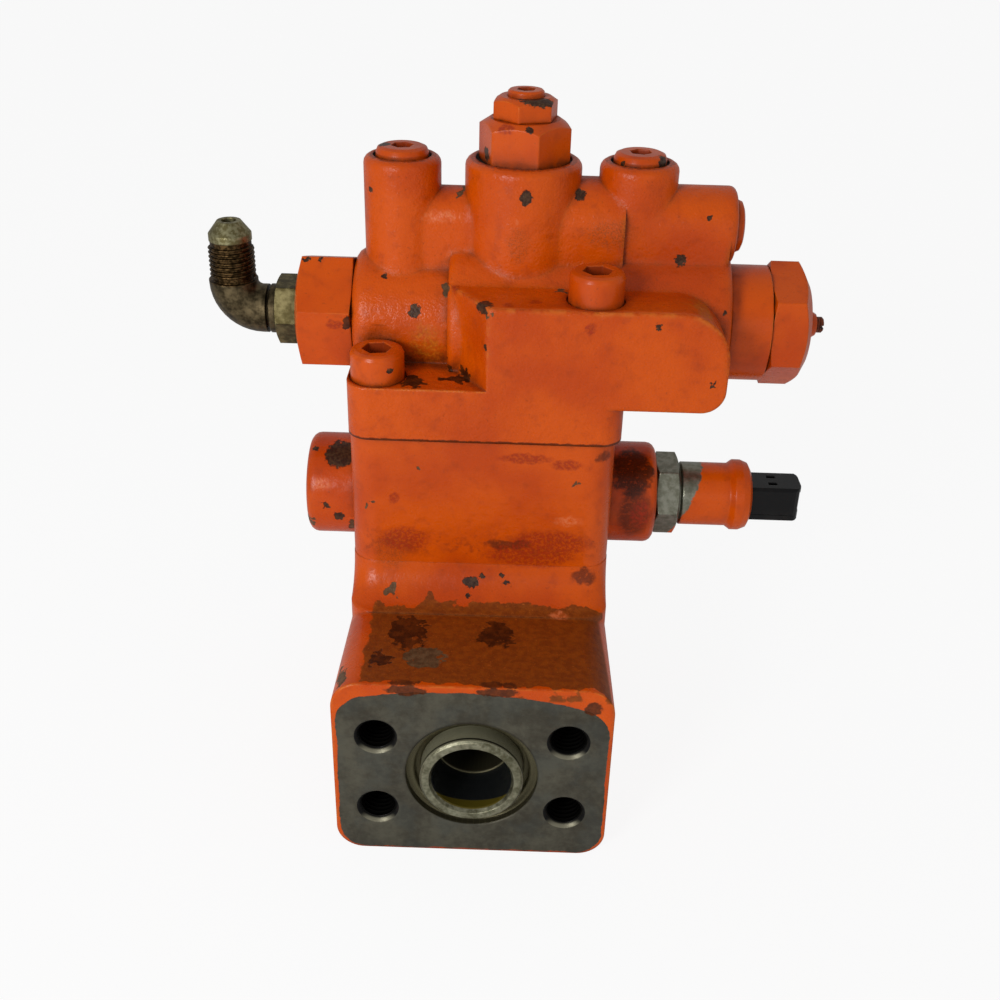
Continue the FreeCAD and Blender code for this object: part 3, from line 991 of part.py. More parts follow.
def relief_group():
    cartridge = new_body("relief_cartridge")
    foot = "boss_top - plug_recess_depth"
    floor_top = "cartridge_foot + cartridge_floor"
    chamfered_hexagon(cartridge, "cartridge_bar", "cartridge_hexagon", f"cartridge_top - ({foot})",
                      foot, 47, chamfer="3", flat="0.43")
    thread = "cartridge_thread / 2"
    nose = "cartridge_nose / 2"
    groove = "cartridge_foot + 4"
    revolve(cartridge, "cartridge_spigot", [
        ("0", f"{foot} + 1"), (thread, f"{foot} + 1"), (thread, "cartridge_thread_end + 0.8"),
        (f"{thread} - 0.8", "cartridge_thread_end"), (nose, "cartridge_thread_end"),
        (nose, f"{groove} + cartridge_seal_wire"),
        (f"{nose} - cartridge_seal_wire", f"{groove} + cartridge_seal_wire"),
        (f"{nose} - cartridge_seal_wire", groove), (nose, groove), (nose, "cartridge_foot + 1"),
        (f"{nose} - 1", "cartridge_foot"), ("0", "cartridge_foot")])
    screw_hole = "adjuster_diameter / 2 + running_gap"
    chamber = "cartridge_bore / 2"
    screw_foot = "adjuster_top - adjuster_length"
    chamber_top = f"{screw_foot} + adjuster_travel + 0.4"
    revolve(cartridge, "cartridge_hollow", [
        ("0", "cartridge_foot - 1"), ("relief_seat_bore / 2", "cartridge_foot - 1"),
        ("relief_seat_bore / 2", floor_top), (chamber, floor_top), (chamber, chamber_top),
        (screw_hole, f"{chamber_top} + (cartridge_bore - adjuster_diameter) / 2"),
        (screw_hole, "cartridge_top + 1"), ("0", "cartridge_top + 1")], cut=True)
    # cross drilling that lets the relief flow out to the gallery
    cylinder(cartridge, "outlet_drilling", "gallery_bore / 2", "cartridge_nose * 1.2",
             ("-cartridge_nose * 0.6", "0", "gallery_height"), "x", cut=True)
    put(cartridge, (*RELIEF, "0"))
    cartridge_seal = ring("relief_cartridge_seal", "(cartridge_nose - cartridge_seal_wire) / 2",
                          "cartridge_seal_wire / 2 - seat_gap",
                          (*RELIEF, f"{groove} + cartridge_seal_wire / 2"))
    # the poppet's cone rests on the seat hole's edge with a fit's clearance
    bodyline = "relief_poppet_diameter / 2"
    touch = "relief_seat_bore / 2 - seat_gap"
    tip = f"{floor_top} - ({touch}) + 0.6"
    top = f"{floor_top} + relief_poppet_length"
    guide = "relief_poppet_diameter / 2 - relief_wire"
    poppet = turned("relief_poppet", [
        ("0", tip), ("0.6", tip), (bodyline, f"{floor_top} - ({touch}) + {bodyline}"),
        (bodyline, f"{top} - 3"), ("cartridge_bore / 2 - running_gap", f"{top} - 3"),
        ("cartridge_bore / 2 - running_gap", f"{top}"), (guide, top),
        (f"{guide} - 0.5", f"{top} + 1.5"), ("0", f"{top} + 1.5")], (*RELIEF, "0"))
    seat_low = f"{screw_foot} - spring_seat_thickness - seat_gap"
    spring = coil("relief_spring", "(cartridge_bore - relief_wire) / 2 - 0.4", "relief_wire",
                  f"({seat_low}) - ({top})", "relief_coils", (*RELIEF, top))
    rim_line = "cartridge_bore / 2 - 0.3"
    spring_seat = turned("relief_spring_seat", [
        ("0", seat_low), (rim_line, seat_low), (rim_line, f"{screw_foot} - seat_gap"),
        ("0", f"{screw_foot} - seat_gap")], (*RELIEF, "0"))
    line = "adjuster_diameter / 2"
    screw = turned("adjusting_screw", [
        ("0", screw_foot), (f"{line} - 1", screw_foot), (line, f"{screw_foot} + 1"),
        (line, "adjuster_top - 0.5"), (f"{line} - 0.5", "adjuster_top"), ("0", "adjuster_top")],
        (*RELIEF, "0"))
    hexagon(screw, "adjuster_socket_cut", "adjuster_socket", "4.5", ("0", "0", "adjuster_top - 4"),
            spin=20, cut=True)
    nut = new_body("jam_nut")
    chamfered_hexagon(nut, "jam_nut_bar", "jam_nut_hexagon", "jam_nut_height - seat_gap", "0", 18.4,
                      chamfer="2", flat="0.44")
    cylinder(nut, "jam_nut_hole", "adjuster_diameter + 2 * running_gap", "jam_nut_height + 2",
             ("0", "0", "-1"), cut=True)
    put(nut, (*RELIEF, "cartridge_top + seat_gap"))
    return [cartridge, cartridge_seal, poppet, spring, spring_seat, screw, nut]


def plugs():
    """Three gallery plugs with hexagon sockets, their seals, and the test port plug."""
    made = []
    seals = []
    places = (
        ("left_gallery_plug", ("-left_boss_place", DEEP, "boss_top"), "z", 14),
        ("right_gallery_plug", ("right_boss_place", DEEP, "boss_top"), "z", 40),
        ("end_gallery_plug", ("gallery_right", DEEP, "gallery_height"), "x", 25))
    for label, at, along, spin in places:
        thread = "plug_thread / 2"
        flange = "plug_flange / 2"
        groove = f"{thread} - plug_seal_wire"
        foot = "-plug_recess_depth"
        body = turned(label, [
            ("0", "-plug_thread_length"), (f"{thread} - 1", "-plug_thread_length"),
            (thread, "1 - plug_thread_length"), (thread, f"{foot} - plug_seal_wire - 0.2"),
            (groove, f"{foot} - plug_seal_wire - 0.2"), (groove, foot), (flange, foot),
            (flange, "plug_stand - 1.8"),
            (f"{flange} - 0.55", "plug_stand - 0.55"), (f"{flange} - 1.8", "plug_stand"),
            ("0", "plug_stand")], at, along)
        hexagon(body, f"{label}_socket", "plug_socket", "plug_socket_depth + 1",
                ("0", "0", "plug_stand - plug_socket_depth"), spin=spin, cut=True)
        made.append(body)
        x, y, z = at
        back = "plug_recess_depth + plug_seal_wire / 2 + 0.1"
        place = (f"{x} - ({back})", y, z) if along == "x" else (x, y, f"{z} - ({back})")
        seals.append(ring(f"{label}_seal", "(plug_thread - plug_seal_wire) / 2",
                          "plug_seal_wire / 2 - seat_gap", place, along))
    made.append(group("gallery_plug_seals", seals))
    thread = "test_plug_thread / 2"
    flange = "test_plug_flange / 2"
    face = "side_boss_left - 0.4"
    # heights run inwards, to the right, from the face of the left boss
    plug = turned("test_port_plug", [
        ("0", "0.4"), (f"{flange} - 0.8", "0.4"), (flange, "1.2"),
        (flange, "test_plug_flange_length + 0.4"),
        (f"{thread} - plug_seal_wire", "test_plug_flange_length + 0.4"),
        (f"{thread} - plug_seal_wire", "test_plug_flange_length + plug_seal_wire + 0.6"),
        (thread, "test_plug_flange_length + plug_seal_wire + 0.6"),
        (thread, "test_plug_flange_length + plug_thread_length - 0.8"),
        (f"{thread} - 0.8", "test_plug_flange_length + plug_thread_length"),
        ("0", "test_plug_flange_length + plug_thread_length")],
        ("-side_boss_left", DEEP, "side_boss_height"), "x")
    hexagon(plug, "test_plug_socket", "plug_socket", "plug_socket_depth + 1.4", ("0", "0", "-1"),
            spin=5, cut=True)
    made.append(plug)
    made.append(ring("test_port_plug_seal", f"{thread} - plug_seal_wire / 2",
                     "plug_seal_wire / 2 - seat_gap",
                     ("-side_boss_left + test_plug_flange_length + 0.5 + plug_seal_wire / 2", DEEP,
                      "side_boss_height"), "x"))
    return made


def sensor_group():
    """Pressure sensor on the right boss: steel housing, seal, moulded connector and its two pins."""
    # heights run to the right from the middle of the part
    sensor = new_body("pressure_sensor")
    face = "side_boss_right + seat_gap"
    chamfered_hexagon(sensor, "sensor_hexagon_bar", "sensor_hexagon", f"sensor_hexagon_end - ({face})",
                      face, 33.6, chamfer="1.2", both=True)
    line = "sensor_thread / 2"
    body_line = "sensor_body / 2"
    crimp = "sensor_crimp / 2"
    groove = f"{line} - plug_seal_wire"
    revolve(sensor, "sensor_turning", [
        ("0", "side_boss_right - sensor_thread_length"),
        (f"{line} - 1", "side_boss_right - sensor_thread_length"),
        (line, "side_boss_right - sensor_thread_length + 1"),
        (line, "side_boss_right - plug_seal_wire - 0.4"),
        (groove, "side_boss_right - plug_seal_wire - 0.4"), (groove, f"{face} + 1"),
        (f"{body_line} - 1", f"{face} + 1"), (f"{body_line} - 1", "sensor_hexagon_end + 0.6"),
        (body_line, "sensor_hexagon_end + 1.2"), (body_line, "sensor_body_end"),
        (crimp, "sensor_body_end + 1.8"), (crimp, "sensor_crimp_end - 3.2"),
        (f"{crimp} - 0.9", "sensor_crimp_end - 1"), (f"{crimp} - 2.8", "sensor_crimp_end"),
        ("0", "sensor_crimp_end")])
    put(sensor, ("0", DEEP, "side_boss_height"), ALONG["x"])
    seal = ring("sensor_seal", "(sensor_thread - plug_seal_wire) / 2", "plug_seal_wire / 2 - seat_gap",
                ("side_boss_right - plug_seal_wire / 2 - 0.2", DEEP, "side_boss_height"), "x")
    # connector: a shroud, open to the right, with a key rail along its lower front edge
    connector = new_body("sensor_connector")
    start = "sensor_crimp_end + seat_gap"
    length = f"connector_end - ({start})"
    half_width = "connector_width / 2"
    half_height = "connector_height / 2"
    profile = outline(connector, "connector_outline", "YZ_Plane", [
        (f"{1 if side > 0 else -1} * ({half_width} - {inset})", f"{rise} * ({half_height} - {drop})")
        for side, rise, inset, drop in ((-1, -1, 1, 0), (1, -1, 1, 0), (1, -1, 0, 1), (1, 1, 0, 1),
                                        (1, 1, 1, 0), (-1, 1, 1, 0), (-1, 1, 0, 1), (-1, -1, 0, 1))],
        start)
    pad(connector, "connector_shroud", profile, length)
    box(connector, "connector_key", (length, "connector_width - 3", "1.8"),
        (start, f"-({half_width}) + 0.4", f"-({half_height}) - 1.4"))
    inner = "2 * connector_wall"
    box(connector, "connector_hollow", ("connector_pocket + 1", f"connector_width - {inner}",
                                        f"connector_height - {inner}"),
        ("connector_end - connector_pocket", f"-({half_width}) + connector_wall",
         f"-({half_height}) + connector_wall"), cut=True)
    # two latch windows in the top wall
    for number, shift in enumerate(("-3.3", "1.6"), start=1):
        box(connector, f"latch_window_{number}", ("3", "1.8", "connector_wall + 1"),
            (f"{start} + 6", shift, f"{half_height} - connector_wall - 0.5"), cut=True)
    # the mouth's upright corners are well rounded
    for side in (-1, 1):
        arc = rounding("connector_end - connector_round", f"{half_width} - connector_round",
                       "connector_round", 0, 90)
        corner = [("connector_end + 1", f"{half_width} - connector_round"), *arc,
                  ("connector_end - connector_round", f"{half_width} + 1"),
                  ("connector_end + 1", f"{half_width} + 1")]
        name = "front" if side < 0 else "rear"
        cutter = outline(connector, f"{name}_mouth_corner_outline", "XY_Plane",
                         [(along, f"{side} * ({across})") for along, across in corner],
                         "connector_height")
        pocket(connector, f"{name}_mouth_corner", cutter, "2 * connector_height")
    put(connector, ("0", DEEP, "side_boss_height + connector_lift"))
    pins = []
    for side in (-1, 1):
        pin = document.addObject("Part::Box", f"sensor_pin_{'front' if side < 0 else 'rear'}")
        tie(pin, {"Length": "pin_length", "Width": "pin_width", "Height": "pin_thickness"})
        put(pin,
            ("connector_end - connector_pocket", f"axis_depth + {side} * pin_pitch / 2 - pin_width / 2",
                  "side_boss_height + connector_lift - pin_thickness / 2"))
        pins.append(pin)
    return [sensor, seal, connector, group("sensor_pins", pins)]


subparts = [lower_block(), upper_block(), cap_screws(), port_sleeve(), interface_seals()]
subparts += main_group() + pilot_group() + elbow_group() + relief_group() + plugs() + sensor_group()
document.recompute()

# Every object must be sound, and every cut must remove material, before anything is written
for item in document.Objects:
    if "Invalid" in item.State or "Error" in item.State:
        raise RuntimeError(f"{item.Name} did not build: {item.State}")
    cuts = item.TypeId.startswith("PartDesign::Subtractive") or item.TypeId in (
        "PartDesign::Pocket", "PartDesign::Groove")
    if cuts and item.Shape.Volume > item.BaseFeature.Shape.Volume - 0.01:
        raise RuntimeError(f"{item.Name} cuts nothing")
for item in subparts:
    if item.Shape.isNull() or not item.Shape.isValid() or not item.Shape.Solids:
        raise RuntimeError(f"{item.Label} has no sound solid")

os.makedirs("parts", exist_ok=True)
for item in subparts:
    item.Shape.exportStep(f"parts/{item.Label}.step")
    box_size = item.Shape.BoundBox
    print(f"{item.Label}: {len(item.Shape.Solids)} solid(s), {item.Shape.Volume:.0f} mm3, "
          f"{box_size.XLength:.1f} x {box_size.YLength:.1f} x {box_size.ZLength:.1f}")
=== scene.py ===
import math

import bpy
from mathutils import Matrix, Vector


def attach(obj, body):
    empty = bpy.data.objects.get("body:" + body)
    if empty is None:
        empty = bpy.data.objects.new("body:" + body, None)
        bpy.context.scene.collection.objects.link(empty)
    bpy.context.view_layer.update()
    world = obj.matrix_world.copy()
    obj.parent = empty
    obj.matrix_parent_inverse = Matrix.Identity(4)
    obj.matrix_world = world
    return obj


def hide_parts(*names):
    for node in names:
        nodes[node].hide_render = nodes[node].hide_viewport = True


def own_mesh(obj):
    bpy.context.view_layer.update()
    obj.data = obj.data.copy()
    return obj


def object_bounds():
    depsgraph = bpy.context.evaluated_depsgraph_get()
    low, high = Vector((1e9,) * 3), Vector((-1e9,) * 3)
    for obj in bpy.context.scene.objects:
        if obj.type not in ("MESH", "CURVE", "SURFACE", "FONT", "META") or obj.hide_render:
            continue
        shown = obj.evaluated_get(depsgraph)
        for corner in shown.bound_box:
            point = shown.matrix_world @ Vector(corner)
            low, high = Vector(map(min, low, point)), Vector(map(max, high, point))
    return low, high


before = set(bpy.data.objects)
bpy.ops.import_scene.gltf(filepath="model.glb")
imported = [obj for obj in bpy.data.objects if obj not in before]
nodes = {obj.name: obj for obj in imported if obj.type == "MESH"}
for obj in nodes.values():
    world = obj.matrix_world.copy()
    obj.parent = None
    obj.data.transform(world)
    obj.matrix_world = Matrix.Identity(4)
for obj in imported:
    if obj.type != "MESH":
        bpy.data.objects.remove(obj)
cad_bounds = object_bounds()
bpy.ops.object.select_all(action="DESELECT")

MM = 0.001


def colour(red, green, blue):
    """A colour given by its screen values, as the shader wants it."""
    channels = []
    for value in (red, green, blue):
        part = value / 255
        channels.append(part / 12.92 if part <= 0.04045 else ((part + 0.055) / 1.055) ** 2.4)
    return (*channels, 1.0)


# Building shader trees

def add(tree, kind, inputs=None, **settings):
    """Places a node, sets it up and feeds its inputs with values or with other nodes' outputs."""
    made = tree.nodes.new("ShaderNode" + kind)
    for name, value in settings.items():
        setattr(made, name, value)
    for name, value in (inputs or {}).items():
        if isinstance(value, bpy.types.NodeSocket):
            tree.links.new(value, made.inputs[name])
        else:
            made.inputs[name].default_value = value
    return made


def maths(tree, operation, *values, clamp=False):
    inputs = dict(enumerate(values))
    return add(tree, "Math", inputs, operation=operation, use_clamp=clamp).outputs[0]


def vector(tree, operation, *values):
    inputs = dict(enumerate(values))
    made = add(tree, "VectorMath", inputs, operation=operation)
    return made.outputs["Value" if operation in ("LENGTH", "DOT_PRODUCT") else "Vector"]


def step(tree, value, low, high):
    """0 below low, 1 above high and a smooth rise between them; low may be above high."""
    inputs = {"Value": value, "From Min": low, "From Max": high}
    return add(tree, "MapRange", inputs, interpolation_type="SMOOTHSTEP").outputs["Result"]


def blend(tree, factor, first, second):
    """A mix of two colours."""
    made = add(tree, "Mix", data_type="RGBA", blend_type="MIX")
    for name, value in (("Factor_Float", factor), ("A_Color", first), ("B_Color", second)):
        socket = next(item for item in made.inputs if item.identifier == name)
        if isinstance(value, bpy.types.NodeSocket):
            tree.links.new(value, socket)
        else:
            socket.default_value = value
    return next(item for item in made.outputs if item.identifier == "Result_Color")


def mix_number(tree, factor, first, second):
    """A mix of two numbers."""
    made = add(tree, "Mix", data_type="FLOAT")
    for name, value in (("Factor_Float", factor), ("A_Float", first), ("B_Float", second)):
        socket = next(item for item in made.inputs if item.identifier == name)
        if isinstance(value, bpy.types.NodeSocket):
            tree.links.new(value, socket)
        else:
            socket.default_value = value
    return next(item for item in made.outputs if item.identifier == "Result_Float")


def coordinates(tree, place):
    """The three numbers of a point."""
    parts = add(tree, "SeparateXYZ", {"Vector": place}).outputs
    return parts["X"], parts["Y"], parts["Z"]


def noise(tree, place, scale, detail, roughness):
    """Noise between 0 and 1; scale counts its features per millimetre of the object."""
    inputs = {"Vector": place, "Scale": scale, "Detail": detail, "Roughness": roughness}
    return add(tree, "TexNoise", inputs).outputs["Fac"]


def place_in_mm(tree):
    """The point on the object, in millimetres."""
    here = add(tree, "TexCoord").outputs["Object"]
    made = add(tree, "VectorMath", {0: here, "Scale": 1 / MM}, operation="SCALE")
    return made.outputs["Vector"]


def group(name, inputs, outputs):
    """An empty node group with named sockets: (tree, its input node's outputs, its output node)."""
    tree = bpy.data.node_groups.new(name, "ShaderNodeTree")
    for title, kind, value in inputs:
        socket = tree.interface.new_socket(name=title, in_out="INPUT", socket_type="NodeSocket" + kind)
        if value is not None:
            socket.default_value = value
    for title, kind in outputs:
        tree.interface.new_socket(name=title, in_out="OUTPUT", socket_type="NodeSocket" + kind)
    entry = tree.nodes.new("NodeGroupInput")
    leave = tree.nodes.new("NodeGroupOutput")
    return tree, entry.outputs, leave.inputs


def use(tree, shared, **inputs):
    """Places a node group in a material; an input's name has _ for each space."""
    made = tree.nodes.new("ShaderNodeGroup")
    made.node_tree = shared
    for name, value in inputs.items():
        socket = made.inputs[name.replace("_", " ")]
        if isinstance(value, bpy.types.NodeSocket):
            tree.links.new(value, socket)
        else:
            socket.default_value = value
    return made.outputs


def edges_group():
    """Rounded edges for the light, and masks of the outer edges, worn and given a painted highlight, and of the
    occluded corners, where soil and painted shade go.
    """
    tree, given, result = group(
        "edges",
        [("Radius", "Float", 1.0), ("Reach", "Float", 5.0)],
        [("Normal", "Vector"), ("Edge", "Float"), ("Corner", "Float")],
    )
    radius = maths(tree, "MULTIPLY", given["Radius"], MM)
    rounded = add(tree, "Bevel", {"Radius": radius}, samples=8).outputs["Normal"]
    facing = add(tree, "NewGeometry").outputs["Normal"]
    turned = vector(tree, "DOT_PRODUCT", rounded, facing)
    bent = step(tree, turned, 0.995, 0.86)
    distance = maths(tree, "MULTIPLY", given["Reach"], MM)
    open_sky = add(tree, "AmbientOcclusion", {"Distance": distance}, samples=6).outputs["AO"]
    corner = step(tree, open_sky, 0.95, 0.35)
    edge = maths(tree, "MULTIPLY", bent, step(tree, open_sky, 0.80, 0.95), clamp=True)
    tree.links.new(rounded, result["Normal"])
    tree.links.new(edge, result["Edge"])
    tree.links.new(corner, result["Corner"])
    return tree


def paint_group():
    """Orange enamel on iron or steel: tone, haze, soil and painted shade in the corners, wear and a painted highlight
    on the edges, gloss and skin.
    """
    tree, given, result = group(
        "orange paint",
        [
            ("Place", "Vector", None),
            ("Grain", "Float", 0.05),
            ("Soil", "Float", 0.5),
            ("Corner", "Float", 0.0),
            ("Edge", "Float", 0.0),
        ],
        [("Color", "Color"), ("Roughness", "Float"), ("Height", "Float")],
    )
    place = given["Place"]
    broad = noise(tree, place, 0.035, 3.0, 0.55)
    mottle = noise(tree, place, 0.20, 5.0, 0.62)
    speck = noise(tree, place, 0.9, 3.0, 0.6)
    tone = blend(tree, step(tree, broad, 0.35, 0.68), colour(210, 82, 0), colour(190, 66, 0))
    tone = blend(tree, maths(tree, "MULTIPLY", step(tree, mottle, 0.50, 0.74), 0.45), tone, colour(160, 56, 8))
    tone = blend(tree, maths(tree, "MULTIPLY", step(tree, speck, 0.62, 0.74), 0.35), tone, colour(120, 48, 10))
    # soil and painted shade: the corners that the occlusion finds go dark brown
    corner_soil_and_shade = maths(tree, "MULTIPLY", given["Corner"], step(tree, mottle, 0.22, 0.60))
    corner_soil_and_shade = maths(tree, "MULTIPLY", corner_soil_and_shade, given["Soil"], clamp=True)
    tone = blend(tree, corner_soil_and_shade, tone, colour(84, 36, 8))
    # the outer edges go lighter: real wear and a painted highlight along the edges
    wear_and_painted_light = maths(tree, "MULTIPLY", given["Edge"], step(tree, mottle, 0.40, 0.62))
    tone = blend(tree, maths(tree, "MULTIPLY", wear_and_painted_light, 0.55), tone, colour(232, 128, 40))
    skin = noise(tree, place, 0.38, 4.0, 0.60)
    pores = noise(tree, place, 1.6, 2.0, 0.5)
    height = maths(tree, "ADD", skin, maths(tree, "MULTIPLY", pores, 0.35))
    height = maths(tree, "MULTIPLY", height, given["Grain"])
    matt = maths(tree, "MULTIPLY_ADD", corner_soil_and_shade, 0.25, maths(tree, "MULTIPLY_ADD", mottle, 0.22, 0.18))
    tree.links.new(tone, result["Color"])
    tree.links.new(matt, result["Roughness"])
    tree.links.new(height, result["Height"])
    return tree


def patch_group():
    """How far a point is from one oval patch: below 1 inside it."""
    tree, given, result = group(
        "patch",
        [("Place", "Vector", None), ("Middle", "Vector", None), ("Reach", "Vector", (1, 1, 1))],
        [("Distance", "Float")],
    )
    away = vector(tree, "SUBTRACT", given["Place"], given["Middle"])
    tree.links.new(vector(tree, "LENGTH", vector(tree, "DIVIDE", away, given["Reach"])), result["Distance"])
    return tree


def well_group():
    """The inside of a hole: 1 within its radius, between its mouth and its bottom."""
    tree, given, result = group(
        "well",
        [
            ("Place", "Vector", None),
            ("Mouth", "Vector", None),
            ("Inward", "Vector", (0, 0, -1)),
            ("Radius", "Float", 1.0),
            ("Bottom", "Float", 6.0),
        ],
        [("Inside", "Float")],
    )
    away = vector(tree, "SUBTRACT", given["Place"], given["Mouth"])
    depth = vector(tree, "DOT_PRODUCT", away, given["Inward"])
    along = add(tree, "VectorMath", {0: given["Inward"], "Scale": depth}, operation="SCALE").outputs["Vector"]
    reach = vector(tree, "LENGTH", vector(tree, "SUBTRACT", away, along))
    near_line = maths(tree, "LESS_THAN", reach, given["Radius"])
    deep = maths(tree, "MULTIPLY", maths(tree, "GREATER_THAN", depth, 0.25),
                 maths(tree, "LESS_THAN", depth, given["Bottom"]))
    tree.links.new(maths(tree, "MULTIPLY", near_line, deep), result["Inside"])
    return tree


EDGES = edges_group()
PAINT = paint_group()
PATCH = patch_group()
WELL = well_group()


def material(name):
    """A new material: (it, its tree, its main shader)."""
    made = bpy.data.materials.new(name)
    made.use_nodes = True
    shader = made.node_tree.nodes["Principled BSDF"]
    return made, made.node_tree, shader


def finish_surface(tree, shader, height, normal):
    """Lays a height in millimetres over the rounded normal."""
    bump = add(tree, "Bump", {"Height": height, "Normal": normal, "Strength": 1.0, "Distance": MM})
    tree.links.new(bump.outputs["Normal"], shader.inputs["Normal"])


def lay(tree, surface, mask, **values):
    """Lays other values over a surface where the mask is 1."""
    for name, value in values.items():
        mix = blend if name == "Color" else mix_number
        surface[name] = mix(tree, mask, surface[name], value)


def connect(tree, shader, surface, normal):
    """Feeds a finished surface to the shader."""
    tree.links.new(surface["Color"], shader.inputs["Base Color"])
    tree.links.new(surface["Roughness"], shader.inputs["Roughness"])
    if isinstance(surface["Metallic"], bpy.types.NodeSocket):
        tree.links.new(surface["Metallic"], shader.inputs["Metallic"])
    else:
        shader.inputs["Metallic"].default_value = surface["Metallic"]
    finish_surface(tree, shader, surface["Height"], normal)


# Directions, and places on the object in millimetres

RIGHT, LEFT, DOWN = (1, 0, 0), (-1, 0, 0), (0, 0, -1)
BACKWARD, FORWARD = (0, 1, 0), (0, -1, 0)
# depth of the axes of the main bore, the bosses and the gallery, and height of the main bore
DEEP, BORE_Z = 86.5, 113.9
# half distances between the threaded holes of a port, and the radius of their mouths
WIDE, NARROW, MOUTH = 28.575, 13.88, 6.75
# middle of the port on the rear face
REAR_X, REAR_Z = 16.0, 32.0
# height of the line where the column's rounded root ends
ROOT_TOP = 45.53

# Marks on the paint: ovals by middle and half extents, in millimetres, seen on the object

